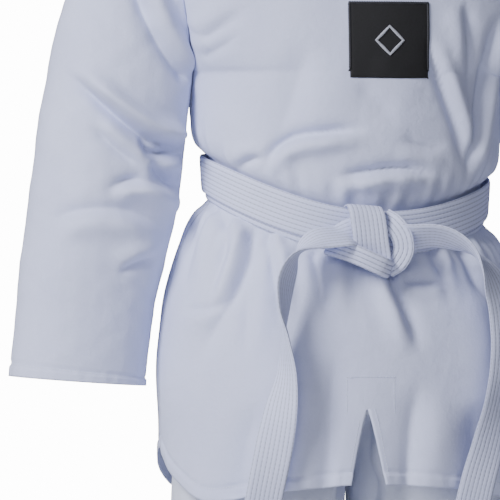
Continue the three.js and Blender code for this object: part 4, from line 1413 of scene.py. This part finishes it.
@dataclass
class Trousers:
    """Loose trousers: a right and a left half, the waistband, its elastic and eyelets."""

    crotch: float = -665.0
    hem: float = -1360.0
    hem_depth: float = 24.0
    step: float = 3.4
    columns: int = 170
    hem_radius: float = 250.0
    middle_gap: float = 0.6
    band_low: float = -24.0
    hip_width: tuple = ((-620, 172), (-560, 168), (-500, 156), (-450, 146), (-400, 143))
    hip_depth: tuple = ((-640, 114), (-560, 116), (-500, 110), (-450, 103), (-400, 100))
    leg_middle: tuple = ((-1360, 121), (-930, 106), (-714, 97), (-600, 94))
    leg_width: tuple = ((-1360, 80), (-930, 87), (-714, 94), (-600, 91))
    leg_depth: tuple = ((-1360, 80), (-930, 86), (-714, 97), (-600, 106))
    lengths: dict[str, float] = field(default_factory=dict)

    def half(self, hand: Hand) -> tuple[Array, Array]:
        """Grid of one half: from the front middle seam round the side to the back middle seam."""
        across = np.linspace(0, 2, self.columns)
        share = np.where(across <= 1, across, 2 - across)
        side = np.where(across <= 1, -1.0, 1.0)
        angle = hand.value * share * math.pi / 2
        top_front = FORM.belt_height(angle, Side.FRONT)
        top_back = FORM.belt_height(angle, Side.BACK)
        top = np.where(side < 0, top_front, top_back) + self.band_low
        t = np.linspace(0, 1, int((top.mean() - self.hem) / self.step))[:, None]
        z = top[None, :] + (self.hem - top)[None, :] * t
        closed = smoothstep(560, -self.crotch, -z)
        hip_x = smooth_curve(self.hip_width, z) * np.sin(share * math.pi / 2)
        hip_y = smooth_curve(self.hip_depth, z) * np.cos(share * math.pi / 2)
        leg_x = smooth_curve(self.leg_middle, z) - smooth_curve(self.leg_width, z) * np.cos(share * math.pi)
        leg_y = smooth_curve(self.leg_depth, z) * np.sin(share * math.pi)
        x = np.maximum(self.middle_gap, hip_x + (leg_x - hip_x) * closed)
        y = side * (0.2 + hip_y + (leg_y - hip_y) * closed)
        points = np.stack([x, y, z], axis=-1)
        normal = outward(points, (95, 0, 0))
        front = np.broadcast_to(side, z.shape)
        lift = 1.5 * lift_of(TROUSER_FOLDS, x + 4 * (front > 0), z - 14 * (front > 0))
        run = np.broadcast_to(across * FORM.waist_x, z.shape)
        lift += 1.3 * ripples(61 + hand.value, 6, 70, 190, run, 0.5 * z)
        lift += 2.0 * ripples(71 + hand.value, 4, 60, 120, run, 0.08 * z) * smoothstep(-1000, -1350, z)
        lift *= smoothstep(0, 60, top - z) * smoothstep(0, 0.09, np.minimum(across, 2 - across))
        lift *= 1 - 0.6 * smoothstep(-620, -540, z)
        around = np.broadcast_to(across * self.hem_radius, z.shape)
        lift += hem_lift(z - self.hem, around, self.hem_depth)
        points = points + normal * lift[..., None]
        mirror = np.array([hand.value, 1, 1])
        points[..., 0] = np.maximum(points[..., 0], self.middle_gap)
        return points * mirror, outward(points, (95, 0, 0)) * mirror

    def build(self) -> list[bpy.types.Object]:
        """Both halves with their hem stitches, then the waist."""
        made = []
        for hand in Hand:
            points, normal = self.half(hand)
            word = hand.word
            cloth = cloth_piece(f"trouser_half_{word}", points, normal, TROUSER_CLOTH, thickness=1.0)
            row = points.shape[0] - 1 - int(self.hem_depth / self.step)
            hem = STITCHING.along(f"trouser_hem_stitches_{word}", points[row] + normal[row] * STITCH_LIFT,
                                  normal[row])
            for piece in (cloth, hem):
                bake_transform(piece)
            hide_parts(f"trouser_front_{word}", f"trouser_back_{word}", f"lower_leg_{word}")
            made += [cloth, hem]
        return made + self.waist()

    def ring_piece(self, name: str, lift: float, low: float, high: float, thickness: float, finish: Cloth,
                   ribs: float) -> bpy.types.Object:
        """A band round the waist whose surface carries fine gathers of the given height."""
        turn = np.linspace(0, 2 * math.pi, 420, endpoint=False)
        gathers = np.sin(turn * 96) + 0.5 * np.sin(turn * 61 + 1)
        front = np.cos(turn) >= 0
        angle = np.arcsin(np.clip(np.sin(turn), -1, 1))
        middle = np.where(front, FORM.belt_height(angle, Side.FRONT), FORM.belt_height(angle, Side.BACK))
        v = np.linspace(0, 1, 22)
        puff = np.sin(v * math.pi) ** 0.5
        out = lift + np.outer(puff, ribs * gathers) + 0.4 * puff[:, None]
        x = (FORM.waist_x + out) * np.sin(turn)
        y = (FORM.waist_y + out) * np.abs(np.cos(turn)) ** 0.9 * np.where(front, -1, 1)
        z = middle[None, :] + low + (high - low) * v[:, None]
        points = np.stack([x, y, z], axis=-1)
        self.lengths[name] = path_length(points[len(points) // 2], closed=True)
        normal = outward(points, (0, 0, 0), ring=True)
        return cloth_piece(name, points, normal, finish, ring=True, thickness=thickness)

    def waist(self) -> list[bpy.types.Object]:
        """Waistband, elastic and the two drawcord eyelets."""
        band = self.ring_piece("waistband_cloth", -4.2, -24, 12, 1.6, TROUSER_CLOTH, 0.3)
        elastic = self.ring_piece("waist_elastic_ribbed", -8.6, -18, 6, 1.5, ELASTIC_CLOTH, 0.15)
        made = [(band, "waistband", "trouser_cloth"), (elastic, "waist_elastic", "elastic")]
        turn = np.linspace(0, 2 * math.pi, 32, endpoint=False)
        for hand in Hand:
            low, high = (np.array(corner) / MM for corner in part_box(f"drawcord_eyelet_{hand.word}"))
            middle = (low + high) / 2
            section = np.linspace(0, 2 * math.pi, 12, endpoint=False)
            reach = 3.9 + 1.1 * np.cos(section)[None, :]
            x = middle[0] + reach * np.cos(turn)[:, None]
            z = middle[2] + reach * np.sin(turn)[:, None]
            y = np.broadcast_to(middle[1] + 0.4 * np.sin(section)[None, :], x.shape)
            rings = np.stack([x, y, z], axis=-1)
            ring = tube_piece(f"drawcord_eyelet_{hand.word}_ring", rings, NICKEL, loop=True)
            made.append((ring, f"drawcord_eyelet_{hand.word}", "eyelet"))
        for piece, node, slot in made:
            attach(piece, "jacket")
            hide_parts(node)
        return [piece for piece, _, _ in made]


# ------------------------------------------------------------------ the studio
@dataclass
class Studio:
    """Pale floor, soft lights and the camera."""

    azimuth: float = -11.5
    elevation: float = 0.5
    target: tuple[float, float, float] = (-0.104, 0.0, -0.443)
    distance: float = 5.0
    frame_width: float = 0.547
    sensor: float = 36.0
    aim: tuple[float, float, float] = (0.0, 0.0, -0.45)
    ambient: float = 0.11
    seen_air: float = 14.0

    def build(self) -> None:
        """Makes floor, lights, world and camera."""
        self.floor()
        self.light("key_light", (-2.3, -1.7, 1.25), 1.15, 158.0, (0.98, 0.98, 1.0))
        self.light("fill_light", (-0.9, -3.2, 0.3), 1.3, 24.0, (0.96, 0.97, 1.0))
        self.light("rim_light", (0.9, 2.0, 0.8), 1.4, 18.0, (1.0, 1.0, 1.0))
        world = bpy.data.worlds.new("studio_air")
        world.use_nodes = True
        tree = world.node_tree
        background = tree.nodes["Background"]
        background.inputs["Color"].default_value = (1.0, 1.0, 1.0, 1.0)
        seen = tree.nodes.new("ShaderNodeLightPath")
        strength = tree.nodes.new("ShaderNodeMath")
        strength.operation = "MULTIPLY_ADD"
        strength.inputs[1].default_value = self.seen_air - self.ambient
        strength.inputs[2].default_value = self.ambient
        tree.links.new(seen.outputs["Is Camera Ray"], strength.inputs[0])
        tree.links.new(strength.outputs[0], background.inputs["Strength"])
        bpy.context.scene.world = world
        self.camera()

    def floor(self) -> None:
        """A pale round floor at the height of the trouser hems."""
        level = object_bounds()[0][2] / MM - 2.0
        turn = np.linspace(0, 2 * math.pi, 96, endpoint=False)
        reach = np.linspace(1, 2200, 24)[:, None]
        points = np.stack([reach * np.cos(turn), reach * np.sin(turn), np.full((24, 96), level)], axis=-1)
        faces = quads_of(numbered(24, 96), ring=True)
        finish = PlainFinish("studio_floor", (0.86, 0.86, 0.87), (0.84, 0.84, 0.85), 0.9,
                             scale=30.0, bump=0.0)
        make_object("studio_floor", points.reshape(-1, 3), faces, finish)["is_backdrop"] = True

    def light(self, name: str, at: tuple[float, float, float], size: float, power: float,
              colour: tuple[float, float, float]) -> None:
        """A square soft light aimed at the target."""
        lamp = bpy.data.lights.new(name, "AREA")
        lamp.size = size
        lamp.energy = power
        lamp.color = colour
        holder = bpy.data.objects.new(name, lamp)
        holder.location = at
        holder.rotation_euler = (Vector(self.aim) - Vector(at)).to_track_quat("-Z", "Y").to_euler()
        bpy.context.scene.collection.objects.link(holder)

    def camera(self) -> None:
        """A long lens in front of the wearer, a little to their right."""
        turn, lift = math.radians(self.azimuth), math.radians(self.elevation)
        right = Vector((math.cos(turn), math.sin(turn), 0))
        target = right * self.target[0] + Vector((0, 0, self.target[2]))
        back = Vector((math.sin(turn) * math.cos(lift), -math.cos(turn) * math.cos(lift), math.sin(lift)))
        lens = bpy.data.cameras.new("camera")
        lens.sensor_width = self.sensor
        lens.lens = self.sensor * self.distance / self.frame_width
        holder = bpy.data.objects.new("camera", lens)
        holder.location = target + back * self.distance
        holder.rotation_euler = (-back).to_track_quat("-Z", "Y").to_euler()
        bpy.context.scene.collection.objects.link(holder)
        bpy.context.scene.camera = holder


def main() -> None:
    """Builds the studio and every piece in order and reports them."""
    logging.basicConfig(level=logging.INFO)
    Studio().build()
    body = JacketBody()
    steps: list[tuple[str, Callable[[], list[bpy.types.Object]]]] = [
        ("front", body.build_front), ("back", body.build_back), ("patch", body.build_patch),
        ("trims", body.build_trims), ("collar", Collar().build), ("right sleeve", Sleeve(Hand.RIGHT).build),
        ("left sleeve", Sleeve(Hand.LEFT).build), ("belt", Belt().build), ("trousers", Trousers().build)]
    for label, build in steps:
        for piece in build():
            LOG.info("%s: %s, %d faces", label, piece.name, len(piece.data.polygons))


if __name__ == "__main__":
    main()
